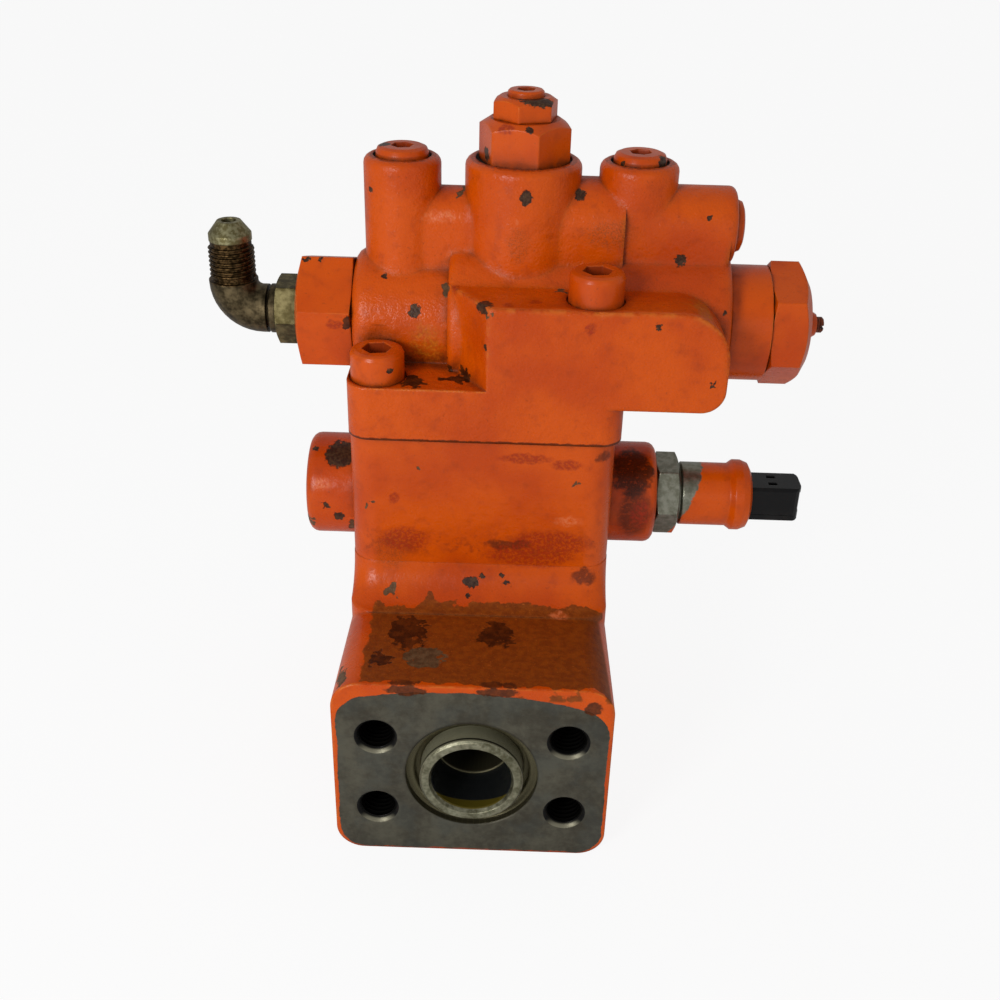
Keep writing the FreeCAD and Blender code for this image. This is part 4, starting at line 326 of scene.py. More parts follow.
MARKS = {
    "lower_block": {
        "bare": [
            (-47.6, 80.5, 65.8, 5.6, 9.0, 3.2), (-55.9, 80.2, 67.3, 1.0, 1.2, 0.9),
            (-51.7, 69.6, 52.1, 1.3, 0.9, 1.5), (-47.3, 70.1, 47.7, 1.3, 0.9, 1.8),
            (-2.8, 47.7, 38.0, 2.7, 0.9, 1.3),
            (1.1, 48.7, 39.8, 1.0, 0.9, 0.9), (7.2, 48.8, 40.0, 1.0, 0.9, 0.9),
            (8.9, 47.8, 38.1, 1.0, 0.9, 0.9), (-3.4, 44.7, 34.6, 1.0, 0.9, 0.9),
        ],
        # light pink marks: the first is a painted highlight on the left boss, the others are scratches
        "scuff_and_highlight": [
            (-52.7, 71.5, 58.9, 3.1, 1.3, 2.7), (27.6, 50.0, 60.2, 4.7, 0.9, 0.9),
            (25.6, 39.4, 32.0, 3.2, 1.0, 0.9),
        ],
        "primer": [
            (-57.2, 72.1, 44.8, 1.0, 1.7, 2.2), (-20.0, 50.0, 76.5, 1.2, 0.9, 1.4),
            (29.0, 50.0, 73.8, 1.2, 0.9, 1.4), (-35.2, 50.5, 63.8, 1.3, 0.9, 1.5),
            (-43.4, 71.9, 44.5, 0.9, 2.2, 4.5), (-28.0, 45.6, 35.4, 2.1, 1.0, 0.9),
            (-14.7, 14.6, 32.6, 6.4, 6.5, 0.9), (-38.7, 5.8, 30.0, 2.2, 5.8, 2.5),
        ],
        "freckle": [
            (-28.3, 49.7, 47.8, 7.0, 0.9, 7.4),
        ],
        "red": [
            (-27.1, 50.0, 66.8, 2.0, 0.9, 0.9), (16.2, 49.8, 47.2, 16.2, 0.9, 4.8),
            (13.0, 50.0, 81.9, 8.9, 0.9, 1.1), (25.8, 50.0, 80.1, 5.3, 0.9, 1.5),
            (52.0, 72.0, 52.0, 4.0, 6.0, 6.0), (22.0, 50.0, 52.0, 14.0, 0.9, 5.0), (-24.0, 49.8, 52.0, 9.0, 0.9, 5.0),
        ],
        "stain": [
            (9.1, 50.0, 51.2, 7.9, 0.9, 1.3), (36.6, 52.1, 82.8, 3.2, 2.1, 2.3),
            (33.3, 49.0, 40.7, 4.4, 1.6, 3.3), (43.1, 69.9, 67.2, 2.4, 13.4, 6.1), (50.5, 72.0, 52.0, 6.5, 8.0, 10.0),
        ],
        "film": [
            (-19.5, 1.5, 31.6, 8.0, 2.6, 2.2), (7.5, 1.5, 31.9, 8.0, 2.6, 2.2), (35.0, 1.5, 27.0, 3.5, 2.6, 3.2),
        ],
        "soot": [
            (49.0, 77.0, 64.0, 7.0, 11.0, 8.5),
        ],
        "soak": [
            (-20.8, 28.7, 32.0, 6.9, 10.5, 0.9), (-27.8, 12.8, 32.7, 4.1, 3.9, 0.9),
            (6.0, 28.1, 31.9, 6.2, 7.8, 0.9),
        ],
    },
    "upper_block": {
        # light pink marks: a painted highlight on the left web, and a pink spot
        "scuff_and_highlight": [
            (-14.1, 77.2, 147.6, 6.2, 0.9, 1.5), (8.4, 69.2, 149.2, 0.9, 0.9, 0.9),
        ],
        "primer": [
            (-8.1, 83.2, 153.4, 1.0, 2.5, 1.0), (-12.3, 69.9, 127.9, 1.8, 3.4, 2.1),
            (22.5, 65.4, 130.2, 1.7, 2.4, 0.9), (2.2, 49.4, 128.3, 0.9, 0.9, 1.7),
        ],
        "bare": [
            (10.8, 69.2, 156.1, 1.4, 0.9, 2.5), (26.6, 78.6, 155.0, 0.9, 2.8, 2.2),
            (-34.9, 79.0, 154.8, 1.0, 1.2, 0.9), (-30.9, 74.4, 129.8, 0.9, 0.9, 0.9),
            (57.5, 74.7, 137.5, 1.6, 0.9, 0.9), (65.0, 76.0, 150.1, 0.9, 0.9, 0.9),
            (70.7, 64.2, 125.2, 0.9, 0.9, 0.9), (-0.0, 52.5, 129.0, 3.2, 3.5, 1.0),
            (0.6, 50.0, 117.8, 0.9, 1.0, 1.1), (49.6, 49.0, 126.0, 0.9, 0.9, 1.1),
            (67.0, 49.0, 108.4, 0.9, 0.9, 1.0), (-21.4, 68.1, 121.2, 1.2, 0.9, 2.3),
        ],
        "freckle": [
            (9.1, 69.4, 141.8, 3.7, 0.9, 6.5), (36.1, 73.9, 144.8, 10.2, 0.9, 5.0),
        ],
        "red": [
            (-9.1, 65.6, 129.4, 1.1, 2.1, 0.9), (6.7, 52.5, 130.0, 1.6, 1.6, 0.9),
            (14.5, 55.6, 130.0, 1.6, 1.6, 0.9), (30.2, 49.0, 124.9, 1.4, 0.9, 1.8),
        ],
        "ochre": [
            (62.2, 58.0, 127.7, 6.3, 9.0, 2.3), (-18.2, 67.7, 111.5, 6.2, 1.1, 6.9),
        ],
        "soak": [
            (-20.9, 55.0, 103.7, 4.9, 4.8, 0.9), (-8.4, 58.4, 105.0, 4.8, 4.4, 0.9),
            (-10.0, 65.2, 107.5, 1.7, 3.3, 2.2),
        ],
    },
    "block_cap_screws": {
        "bare": [
            (-27.5, 51.8, 108.7, 0.9, 0.9, 1.0),
        ],
    },
    "relief_cartridge": {
        "bare": [
            (11.3, 74.9, 173.8, 1.4, 1.2, 1.1), (-1.0, 81.0, 165.5, 1.0, 3.1, 1.2),
        ],
        "red": [
            (4.4, 76.0, 173.8, 2.9, 1.1, 0.9),
        ],
    },
    "jam_nut": {
        "bare": [
            (12.8, 80.6, 180.7, 6.4, 3.2, 1.0),
        ],
    },
    "left_gallery_plug": {
        "bare": [
            (-31.6, 86.7, 165.9, 1.8, 2.4, 0.9),
        ],
    },
    "right_gallery_plug": {
        "bare": [
            (50.1, 82.3, 164.4, 1.9, 2.4, 1.0), (38.8, 80.9, 163.7, 0.9, 0.9, 0.9),
        ],
    },
    "pilot_adapter": {
        "bare": [
            (-55.6, 81.6, 131.8, 1.4, 0.9, 0.9), (-51.2, 81.6, 131.8, 0.9, 0.9, 0.9),
        ],
        "soak": [
            (-41.9, 69.1, 116.7, 0.9, 0.9, 3.4),
        ],
        "red": [
            (-46.0, 69.2, 115.8, 2.9, 0.9, 0.9),
        ],
    },
}
# How each kind looks: two tones, grain, opacity, raggedness (scale, reach in mm), softness, break-up, roughness, loss
MARK_LOOKS = {
    "ochre": (colour(146, 78, 6), colour(204, 112, 14), 0.9, 0.80, (0.30, 4.0), 0.70, 0.55, 0.50, 0.00),
    "stain": (colour(74, 26, 2), colour(120, 44, 4), 0.7, 0.85, (0.35, 4.0), 0.45, 0.45, 0.45, 0.00),
    "soak": (colour(46, 18, 2), colour(88, 40, 6), 0.3, 0.97, (0.20, 11.0), 0.04, 0.00, 0.42, 0.08),
    "freckle": (colour(84, 36, 4), colour(142, 64, 10), 2.4, 0.65, (0.40, 3.0), 0.70, 0.85, 0.60, 0.03),
    "red": (colour(112, 22, 2), colour(160, 40, 6), 1.0, 0.75, (0.40, 3.0), 0.50, 0.65, 0.40, 0.02),
    # light pink, for scratches and for painted highlights
    "scuff_and_highlight": (colour(216, 98, 46), colour(226, 126, 78), 0.8, 0.60, (0.40, 3.0), 0.70, 0.55, 0.30, 0.00),
    "primer": (colour(72, 54, 32), colour(98, 78, 52), 0.5, 0.95, (0.22, 9.0), 0.05, 0.00, 0.55, 0.08),
    "film": (colour(70, 30, 2), colour(100, 44, 4), 0.5, 0.95, (0.35, 3.0), 0.10, 0.00, 0.50, 0.00),
    "soot": (colour(36, 14, 2), colour(86, 32, 3), 0.8, 0.92, (0.30, 8.0), 0.25, 0.35, 0.40, 0.00),
    "bare": (colour(34, 20, 10), colour(70, 52, 32), 0.9, 0.97, (0.75, 3.0), 0.06, 0.05, 0.40, 0.10),
}


def marked(tree, surface, place, marks):
    """Lays the marks of one piece over its paint, each kind with its own ragged edge."""
    for kind, (dark, light, grain, opacity, ragged, soft, broken, roughness, loss) in MARK_LOOKS.items():
        if not marks.get(kind):
            continue
        scale, reach = ragged
        shift = add(tree, "TexNoise", {"Vector": place, "Scale": scale, "Detail": 3.0, "Roughness": 0.55})
        shift = vector(tree, "SUBTRACT", shift.outputs["Color"], (0.5, 0.5, 0.5))
        shift = add(tree, "VectorMath", {0: shift, "Scale": reach}, operation="SCALE").outputs["Vector"]
        moved = vector(tree, "ADD", place, shift)
        nearest = None
        for x, y, z, *reaches in marks[kind]:
            # a mark wider than a dot reaches far enough into the surface for its ragged edge
            least = 1.8 if max(reaches) > 1.5 else 0.7
            across = [max(size * 0.95, least) for size in reaches]
            oval = use(tree, PATCH, Place=moved, Middle=(x, y, z), Reach=across)
            distance = oval["Distance"]
            nearest = distance if nearest is None else maths(tree, "MINIMUM", nearest, distance)
        cloud = noise(tree, place, grain, 3.0, 0.65)
        mask = step(tree, nearest, 1.04 + soft * 0.3, 0.96 - soft * 0.6)
        holes = step(tree, cloud, 0.30 + broken * 0.22, 0.36 + broken * 0.28)
        mask = maths(tree, "MULTIPLY", mask, mix_number(tree, broken, 1.0, holes))
        mask = maths(tree, "MULTIPLY", mask, opacity)
        tone = blend(tree, step(tree, cloud, 0.38, 0.66), dark, light)
        lower = maths(tree, "SUBTRACT", surface["Height"], loss)
        lay(tree, surface, mask, Color=tone, Roughness=roughness, Height=lower)


def in_wells(tree, place, wells):
    """1 inside any of the holes, which are (mouth, inward direction, radius, depth)."""
    inside = None
    for mouth, inward, radius, bottom in wells:
        one = use(tree, WELL, Place=place, Mouth=mouth, Inward=inward, Radius=radius, Bottom=bottom)["Inside"]
        inside = one if inside is None else maths(tree, "MAXIMUM", inside, one)
    return inside


def painted(name, radius, grain, corner_darkening, marks=None, wells=(), zones=None):
    """A painted piece with what the zones function lays over it, its marks, and its holes darkened by soil and painted
    shade.
    """
    made, tree, shader = material(name)
    shader.inputs["Specular IOR Level"].default_value = 0.26
    place = place_in_mm(tree)
    share = 1.0
    if callable(radius):
        radius, share = radius(tree, place)
    edges = use(tree, EDGES, Radius=radius, Reach=6.0)
    # the corners' darkening, soil and painted shade, scaled by the share
    corner = maths(tree, "MULTIPLY", edges["Corner"], share)
    paint = use(tree, PAINT, Place=place, Grain=grain, Soil=corner_darkening, Corner=corner, Edge=edges["Edge"])
    surface = {"Color": paint["Color"], "Roughness": paint["Roughness"], "Height": paint["Height"], "Metallic": 0.0}
    if zones:
        zones(tree, surface, place)
    if marks:
        marked(tree, surface, place, marks)
    # the sockets' insides go a darker orange-brown: soil and painted shade
    if wells:
        lay(tree, surface, in_wells(tree, place, wells), Color=colour(150, 52, 6), Roughness=0.5)
    connect(tree, shader, surface, edges["Normal"])
    return made


def turning_lines(tree, place):
    """Fine rings left by the lathe round the hose port's axis, and the distance from that axis."""
    across, _, upward = coordinates(tree, place)
    radius = maths(tree, "SQRT", maths(tree, "ADD", maths(tree, "POWER", across, 2.0),
                                       maths(tree, "POWER", upward, 2.0)))
    rings = add(tree, "TexNoise", {"W": maths(tree, "MULTIPLY", radius, 5.0)}, noise_dimensions="1D")
    return rings.outputs["Fac"], radius


def seam_soil(tree, surface, place, low, high):
    """A dark line of soil along the joint of the two blocks."""
    _, _, z = coordinates(tree, place)
    fine = noise(tree, place, 0.5, 4.0, 0.65)
    height = maths(tree, "MULTIPLY_ADD", fine, 1.2, maths(tree, "SUBTRACT", z, 0.6))
    mask = maths(tree, "MULTIPLY", step(tree, height, low, low + 0.35), step(tree, height, high, high - 0.35))
    lay(tree, surface, maths(tree, "MULTIPLY", mask, 0.85), Color=colour(70, 26, 4), Roughness=0.5)


def lower_block_zones(tree, surface, place):
    """Soil and oil on the paint, the machined faces, the ports and their threaded holes."""
    x, y, z = coordinates(tree, place)
    broad = noise(tree, place, 0.09, 3.0, 0.5)
    fine = noise(tree, place, 0.45, 4.0, 0.65)
    speck = noise(tree, place, 1.6, 3.0, 0.6)
    # reddish soil low on the column's front
    low = maths(tree, "MULTIPLY", step(tree, z, 62.0, 44.0), step(tree, y, 52.0, 50.5))
    dirty = maths(tree, "MULTIPLY", low, step(tree, fine, 0.46, 0.64))
    dirty = maths(tree, "MULTIPLY", dirty, step(tree, z, 44.0, 50.0))
    lay(tree, surface, maths(tree, "MULTIPLY", dirty, 0.6), Color=colour(120, 36, 4), Roughness=0.45)
    # brown oil film on the foot, with a wandering crisp edge
    wander = maths(tree, "MULTIPLY", maths(tree, "SUBTRACT", broad, 0.5), 18.0)
    frayed = maths(tree, "MULTIPLY", maths(tree, "SUBTRACT", fine, 0.5), 4.0)
    reach = maths(tree, "ADD", wander, frayed)
    oily = maths(tree, "MULTIPLY", step(tree, maths(tree, "ADD", y, reach), 42.6, 42.0), step(tree, z, 28.5, 29.8))
    side = maths(tree, "ADD", x, maths(tree, "MULTIPLY", reach, 0.35))
    oily = maths(tree, "MULTIPLY", oily, step(tree, side, -33.2, -32.6))
    front = maths(tree, "ADD", y, maths(tree, "MULTIPLY", reach, 0.55))
    oily = maths(tree, "MULTIPLY", oily, step(tree, front, 1.0, 1.4))
    brown = blend(tree, step(tree, fine, 0.34, 0.70), colour(114, 50, 0), colour(138, 66, 2))
    brown = blend(tree, maths(tree, "MULTIPLY", step(tree, speck, 0.66, 0.70), 0.6), brown, colour(206, 110, 40))
    lay(tree, surface, maths(tree, "MULTIPLY", oily, 0.97), Color=brown, Roughness=0.55)
    # machined flange face inside an irregular rim of paint
    half_width, top_edge, low_edge, corner = 40.4, 31.4, -30.3, 8.0
    cloud = noise(tree, place, 0.07, 4.0, 0.6)
    bow = maths(tree, "MULTIPLY", maths(tree, "POWER", maths(tree, "ABSOLUTE", maths(tree, "ADD", x, 5.0)), 2.0), 0.0035)
    upper = maths(tree, "SUBTRACT", maths(tree, "ADD", z, bow), top_edge)
    lower = maths(tree, "SUBTRACT", low_edge, z)
    over_x = maths(tree, "SUBTRACT", maths(tree, "ABSOLUTE", x), half_width - corner)
    over_z = maths(tree, "ADD", maths(tree, "MAXIMUM", upper, lower), corner)
    beyond = add(tree, "CombineXYZ", {"X": maths(tree, "MAXIMUM", over_x, 0.0), "Y": maths(tree, "MAXIMUM", over_z, 0.0)})
    border = maths(tree, "SUBTRACT", vector(tree, "LENGTH", beyond.outputs["Vector"]), corner)
    border = maths(tree, "ADD", border, maths(tree, "MULTIPLY", maths(tree, "SUBTRACT", cloud, 0.5), 2.4))
    border = maths(tree, "ADD", border, maths(tree, "MULTIPLY", maths(tree, "SUBTRACT", fine, 0.5), 0.8))
    face = maths(tree, "MULTIPLY", step(tree, border, 0.12, -0.12), step(tree, y, 2.0, 1.0))
    smear = maths(tree, "MULTIPLY_ADD", fine, 0.35, maths(tree, "MULTIPLY", cloud, 0.70))
    iron = blend(tree, step(tree, smear, 0.38, 0.68), colour(66, 62, 52), colour(92, 89, 76))
    iron = blend(tree, maths(tree, "MULTIPLY", step(tree, broad, 0.45, 0.62), 0.28), iron, colour(70, 76, 74))
    scratches = add(tree, "Mapping", {"Vector": place, "Scale": (0.35, 1.0, 5.0)}).outputs["Vector"]
    lines = noise(tree, scratches, 1.0, 4.0, 0.7)
    iron = blend(tree, maths(tree, "MULTIPLY", step(tree, lines, 0.60, 0.70), 0.3), iron, colour(126, 122, 104))
    lay(tree, surface, face, Color=iron, Roughness=maths(tree, "MULTIPLY_ADD", fine, 0.25, 0.30),
        Height=maths(tree, "MULTIPLY", lines, 0.015), Metallic=0.5)
    # turned steel in the port's recess and in the drilling behind it
    rings, radius = turning_lines(tree, place)
    recess = maths(tree, "MULTIPLY", maths(tree, "LESS_THAN", radius, 20.15), maths(tree, "GREATER_THAN", y, 0.15))
    recess = maths(tree, "MULTIPLY", recess, maths(tree, "LESS_THAN", y, 60.0))
    steel = blend(tree, step(tree, rings, 0.40, 0.65), colour(66, 62, 46), colour(120, 114, 84))
    lay(tree, surface, recess, Color=steel, Roughness=0.34, Height=maths(tree, "MULTIPLY", rings, 0.02), Metallic=0.6)
    # threaded holes, painted near-black inside as painted shade, with worn crests and a painted highlight on the lower
    # edge of each mouth
    holes = in_wells(tree, place, [((across, -0.2, upward), BACKWARD, MOUTH, 40.0)
                                   for across in (-WIDE, WIDE) for upward in (-NARROW, NARROW)])
    turned = maths(tree, "ARCTAN2", z, x)
    winding = maths(tree, "MULTIPLY_ADD", y, 1 / 1.75, maths(tree, "MULTIPLY", turned, 0.5 / math.pi))
    crest = maths(tree, "PINGPONG", winding, 0.5)
    deep = step(tree, y, 1.2, 1.6)
    below = maths(tree, "SUBTRACT", NARROW, maths(tree, "ABSOLUTE", z))
    below = maths(tree, "MULTIPLY", below, maths(tree, "SIGN", z))
    lit = step(tree, below, 3.0, 5.6)
    wear_and_painted_light = blend(tree, maths(tree, "MULTIPLY", step(tree, crest, 0.36, 0.48), 0.4), colour(10, 9, 8), colour(40, 36, 30))
    wear_and_painted_light = blend(tree, maths(tree, "MULTIPLY", step(tree, y, 1.2, 0.7), lit), wear_and_painted_light, colour(120, 116, 98))
    lay(tree, surface, holes, Color=wear_and_painted_light, Roughness=0.40, Metallic=0.5,
        Height=maths(tree, "MULTIPLY", maths(tree, "MULTIPLY", crest, deep), 0.5))
    # side and rear ports and the rear face
    inner = in_wells(tree, place, [((-58.2, DEEP, 51.6), RIGHT, 10.4, 30.0), ((57.2, DEEP, 51.6), LEFT, 9.0, 30.0),
                                   ((REAR_X, 123.0, REAR_Z), FORWARD, 17.0, 60.0)])
    # the rear threaded holes are painted near-black inside: painted shade
    rear_holes = in_wells(tree, place, [((REAR_X + across, 123.2, REAR_Z + upward), FORWARD, MOUTH, 30.0)
                                        for across in (-NARROW, NARROW) for upward in (-WIDE, WIDE)])
    lay(tree, surface, inner, Color=colour(52, 48, 38), Roughness=0.4, Metallic=0.7)
    lay(tree, surface, maths(tree, "GREATER_THAN", y, 122.7), Color=iron, Roughness=0.4, Metallic=0.5)
    lay(tree, surface, rear_holes, Color=colour(30, 27, 22), Roughness=0.4, Metallic=0.6)
    seam_soil(tree, surface, place, 86.7, 90.0)


def root_radius(tree, place):
    """The edges' roundness and the corners' share of soil and painted shade, both gone where the column's root ends."""
    _, _, z = coordinates(tree, place)
    line = maths(tree, "MULTIPLY", step(tree, z, ROOT_TOP - 2.2, ROOT_TOP - 1.8), step(tree, z, ROOT_TOP + 2.2, ROOT_TOP + 1.8))
    return maths(tree, "MULTIPLY_ADD", line, -1.58, 1.6), maths(tree, "SUBTRACT", 1.0, line)


def cast_radius(tree, place):
    """Wide hollows at the feet of the bosses, tighter edges at the machined rims and on the slab."""
    _, _, z = coordinates(tree, place)
    feet = maths(tree, "MULTIPLY", step(tree, z, 108.0, 116.0), step(tree, z, 159.0, 154.0))
    return maths(tree, "MULTIPLY_ADD", feet, 2.2, 1.5), 1.0


def upper_block_zones(tree, surface, place):
    """Machined boss rims, gaps round the plugs painted dark as painted shade, and the faces where fittings are screwed
    on.
    """
    _, _, z = coordinates(tree, place)
    fine = noise(tree, place, 0.8, 4.0, 0.6)
    rims = step(tree, z, 163.2, 163.4)
    rust = blend(tree, step(tree, fine, 0.42, 0.62), colour(120, 46, 8), colour(196, 74, 10))
    lay(tree, surface, maths(tree, "MULTIPLY", rims, 0.7), Color=rust, Roughness=0.4)
    # the gaps round the plugs are painted dark brown: painted shade
    gaps = in_wells(tree, place, [((-26.2, DEEP, 163.4), DOWN, 9.0, 12.0), ((44.3, DEEP, 163.4), DOWN, 9.0, 12.0),
                                  ((9.9, DEEP, 163.4), DOWN, 14.5, 12.0), ((73.7, DEEP, 144.8), LEFT, 9.0, 10.0)])
    lay(tree, surface, gaps, Color=colour(34, 18, 8), Roughness=0.6)
    ends = in_wells(tree, place, [((-36.5, DEEP, BORE_Z), RIGHT, 14.0, 20.0), ((73.0, DEEP, BORE_Z), LEFT, 16.2, 25.0)])
    lay(tree, surface, ends, Color=colour(46, 40, 30), Roughness=0.5)
    seam_soil(tree, surface, place, 80.0, 88.1)


def sensor_zones(tree, surface, place):
    """The sensor's zinc hexagon, which the paint only half reached."""
    x, _, z = coordinates(tree, place)
    fine = noise(tree, place, 0.5, 4.0, 0.65)
    border = maths(tree, "MULTIPLY_ADD", z, -0.44, maths(tree, "ADD", x, 21.1))
    border = maths(tree, "ADD", border, maths(tree, "MULTIPLY", maths(tree, "SUBTRACT", fine, 0.5), 3.0))
    bare = step(tree, border, 67.2, 66.8)
    zinc = blend(tree, step(tree, fine, 0.35, 0.66), colour(112, 112, 96), colour(142, 142, 128))
    lay(tree, surface, bare, Color=zinc, Roughness=0.34, Metallic=0.85)


def metal(name, dark, light, roughness, grain_scale, radius=0.4, metallic=1.0, depth=0.03, zones=None):
    """Bare metal with clouds, fine grain and painted shade in its corners."""
    made, tree, shader = material(name)
    place = place_in_mm(tree)
    edges = use(tree, EDGES, Radius=radius, Reach=4.0)
    cloud = noise(tree, place, 0.25, 4.0, 0.6)
    grain = noise(tree, place, grain_scale, 3.0, 0.6)
    mixed = maths(tree, "MULTIPLY_ADD", grain, 0.45, maths(tree, "MULTIPLY", cloud, 0.6))
    shade = blend(tree, step(tree, mixed, 0.38, 0.70), dark, light)
    # the corners that the occlusion finds are darkened: painted shade
    shade = blend(tree, maths(tree, "MULTIPLY", edges["Corner"], 0.6), shade, colour(38, 30, 20))
    surface = {"Color": shade, "Roughness": maths(tree, "MULTIPLY_ADD", mixed, 0.3, roughness),
               "Height": maths(tree, "MULTIPLY", mixed, depth), "Metallic": metallic}
    if zones:
        zones(tree, surface, place)
    connect(tree, shader, surface, edges["Normal"])
    return made


def sleeve_zones(tree, surface, place):
    """Lathe rings on the sleeve, lighter bands round its outside with a painted highlight, a dark line round its
    outside and oil low in its bore.
    """
    rings, radius = turning_lines(tree, place)
    _, y, z = coordinates(tree, place)
    grooves = add(tree, "TexNoise", {"W": maths(tree, "MULTIPLY", y, 4.0)}, noise_dimensions="1D").outputs["Fac"]
    height = maths(tree, "MULTIPLY", maths(tree, "ADD", rings, grooves), 0.02)
    lay(tree, surface, 1.0, Height=height)
    bore = maths(tree, "LESS_THAN", radius, 12.1)
    crescent = maths(tree, "MULTIPLY_ADD", z, 0.55, y)
    oil = maths(tree, "MULTIPLY", bore, step(tree, crescent, -4.2, -4.8))
    # its outside is painted lighter than the steel: real lathe bands under a painted highlight
    side = maths(tree, "MULTIPLY", maths(tree, "GREATER_THAN", radius, 14.6), maths(tree, "GREATER_THAN", y, -2.2))
    bands = blend(tree, step(tree, grooves, 0.45, 0.60), colour(120, 116, 92), colour(176, 174, 146))
    line = step(tree, maths(tree, "ABSOLUTE", maths(tree, "ADD", y, 1.2)), 0.42, 0.28)
    bands = blend(tree, line, bands, colour(34, 30, 22))
    lay(tree, surface, side, Color=bands, Metallic=0.4, Roughness=0.35)
    ripple = maths(tree, "MULTIPLY", step(tree, grooves, 0.5, 0.62), 0.5)
    inside = blend(tree, ripple, colour(44, 46, 46), colour(84, 90, 92))
    lay(tree, surface, bore, Color=inside, Roughness=0.26, Metallic=0.7)
    lay(tree, surface, oil, Color=colour(96, 84, 26), Roughness=0.15, Metallic=0.3)


def elbow_zones(tree, surface, place):
    """Darker thread, lighter cone."""
    x, _, z = coordinates(tree, place)
    upright = maths(tree, "LESS_THAN", x, -71.5)
    fine = noise(tree, place, 0.8, 3.0, 0.6)
    thread = maths(tree, "MULTIPLY", upright, step(tree, z, 122.9, 123.5))
    brown = blend(tree, step(tree, fine, 0.40, 0.62), colour(46, 34, 18), colour(96, 74, 46))
    lay(tree, surface, thread, Color=brown)
    cone = maths(tree, "MULTIPLY", upright, step(tree, z, 135.6, 136.2))
    green = blend(tree, step(tree, fine, 0.40, 0.62), colour(112, 104, 70), colour(152, 146, 112))
    lay(tree, surface, cone, Color=green)


def bleed_zones(tree, surface, place):
    """The fine thread of the bleed screw."""
    x, y, z = coordinates(tree, vector(tree, "SUBTRACT", place, (0.0, DEEP, BORE_Z)))
    turned = maths(tree, "ARCTAN2", z, y)
    winding = maths(tree, "MULTIPLY_ADD", x, 1 / 0.8, maths(tree, "MULTIPLY", turned, 0.5 / math.pi))
    lay(tree, surface, 1.0, Height=maths(tree, "MULTIPLY", maths(tree, "PINGPONG", winding, 0.5), 0.5))


def moulded(name, base, roughness, depth, radius=0.3):
    """Moulded plastic or rubber."""
    made, tree, shader = material(name)
    place = place_in_mm(tree)
    edges = use(tree, EDGES, Radius=radius, Reach=3.0)
    grain = noise(tree, place, 2.2, 2.0, 0.5)
    cloud = noise(tree, place, 0.2, 3.0, 0.5)
    dusty = blend(tree, maths(tree, "MULTIPLY", step(tree, cloud, 0.5, 0.8), 0.06), base, colour(96, 92, 84))
    tree.links.new(dusty, shader.inputs["Base Color"])
    shader.inputs["Specular IOR Level"].default_value = 0.25
    tree.links.new(maths(tree, "MULTIPLY_ADD", cloud, 0.2, roughness), shader.inputs["Roughness"])
    finish_surface(tree, shader, maths(tree, "MULTIPLY", grain, depth), edges["Normal"])
    return made


# Hexagon sockets of the screws and plugs: mouth, inward direction, radius, depth

SOCKETS = {
    "block_cap_screws": [((x, y, z), DOWN, 4.8, 6.0) for x, y, z in
                         ((-32, 58.5, 113.2), (32, 58.5, 139.0), (-32, 114.5, 113.2), (32, 114.5, 113.2))],
    "left_gallery_plug": [((-26.2, DEEP, 166.1), DOWN, 3.7, 5.0)],
    "right_gallery_plug": [((44.3, DEEP, 166.1), DOWN, 3.7, 5.0)],
    "end_gallery_plug": [((76.5, DEEP, 144.8), LEFT, 3.7, 5.0)],
    "test_port_plug": [((-58.2, DEEP, 51.6), RIGHT, 5.0, 6.0)],
    "adjusting_screw": [((9.9, DEEP, 183.0), DOWN, 3.2, 6.0)],
}
fitting_paint = painted("fitting paint", radius=0.7, grain=0.03, corner_darkening=0.9)
zinc_steel = metal("zinc steel", colour(108, 98, 66), colour(172, 162, 126), 0.28, 0.9, radius=0.3)
bright_steel = metal("bright steel", colour(100, 98, 76), colour(164, 162, 138), 0.20, 0.8, radius=0.4,
                     zones=sleeve_zones)
dark_steel = metal("dark steel", colour(58, 56, 52), colour(92, 90, 84), 0.30, 1.0, radius=0.4)
spring_steel = metal("spring steel", colour(70, 72, 76), colour(110, 112, 116), 0.25, 1.0, radius=0.1)
tinned_brass = metal("tinned brass", colour(150, 144, 124), colour(188, 182, 160), 0.22, 1.5, radius=0.1)
black_plastic = moulded("black plastic", colour(4, 4, 5), 0.30, 0.02, radius=0.5)
seal_rubber = moulded("seal rubber", colour(24, 23, 22), 0.50, 0.02, radius=0.2)

FINISHES = {
    "orange_paint": fitting_paint,
    "zinc_steel": zinc_steel,
    "dark_steel": dark_steel,
    "bright_steel": bright_steel,
    "spring_steel": spring_steel,
    "black_plastic": black_plastic,
    "seal_rubber": seal_rubber,
    "tinned_brass": tinned_brass,
}
NODE_FINISHES = {
    "lower_block": painted("lower block paint", radius=root_radius, grain=0.16, corner_darkening=0.9, marks=MARKS["lower_block"],
                           zones=lower_block_zones),
    "upper_block": painted("upper block paint", radius=cast_radius, grain=0.34, corner_darkening=0.8, marks=MARKS["upper_block"],
                           zones=upper_block_zones),
    "pressure_sensor": painted("sensor paint", radius=0.7, grain=0.03, corner_darkening=0.9, zones=sensor_zones),
    "elbow_locknut": metal("locknut steel", colour(74, 66, 40), colour(128, 118, 82), 0.34, 0.5, radius=0.4),
    "pilot_elbow": metal("elbow steel", colour(52, 44, 30), colour(112, 98, 72), 0.30, 0.6, radius=0.5,
                         zones=elbow_zones),
    "bleed_screw": metal("rusty steel", colour(84, 34, 14), colour(150, 72, 34), 0.35, 1.2, radius=0.1,
                         metallic=0.3, zones=bleed_zones),
}
for name in nodes:
    if name not in NODE_FINISHES and (name in MARKS or name in SOCKETS):
        NODE_FINISHES[name] = painted(f"{name} paint", radius=0.7, grain=0.03, corner_darkening=0.9, marks=MARKS.get(name),
                                      wells=SOCKETS.get(name, ()))


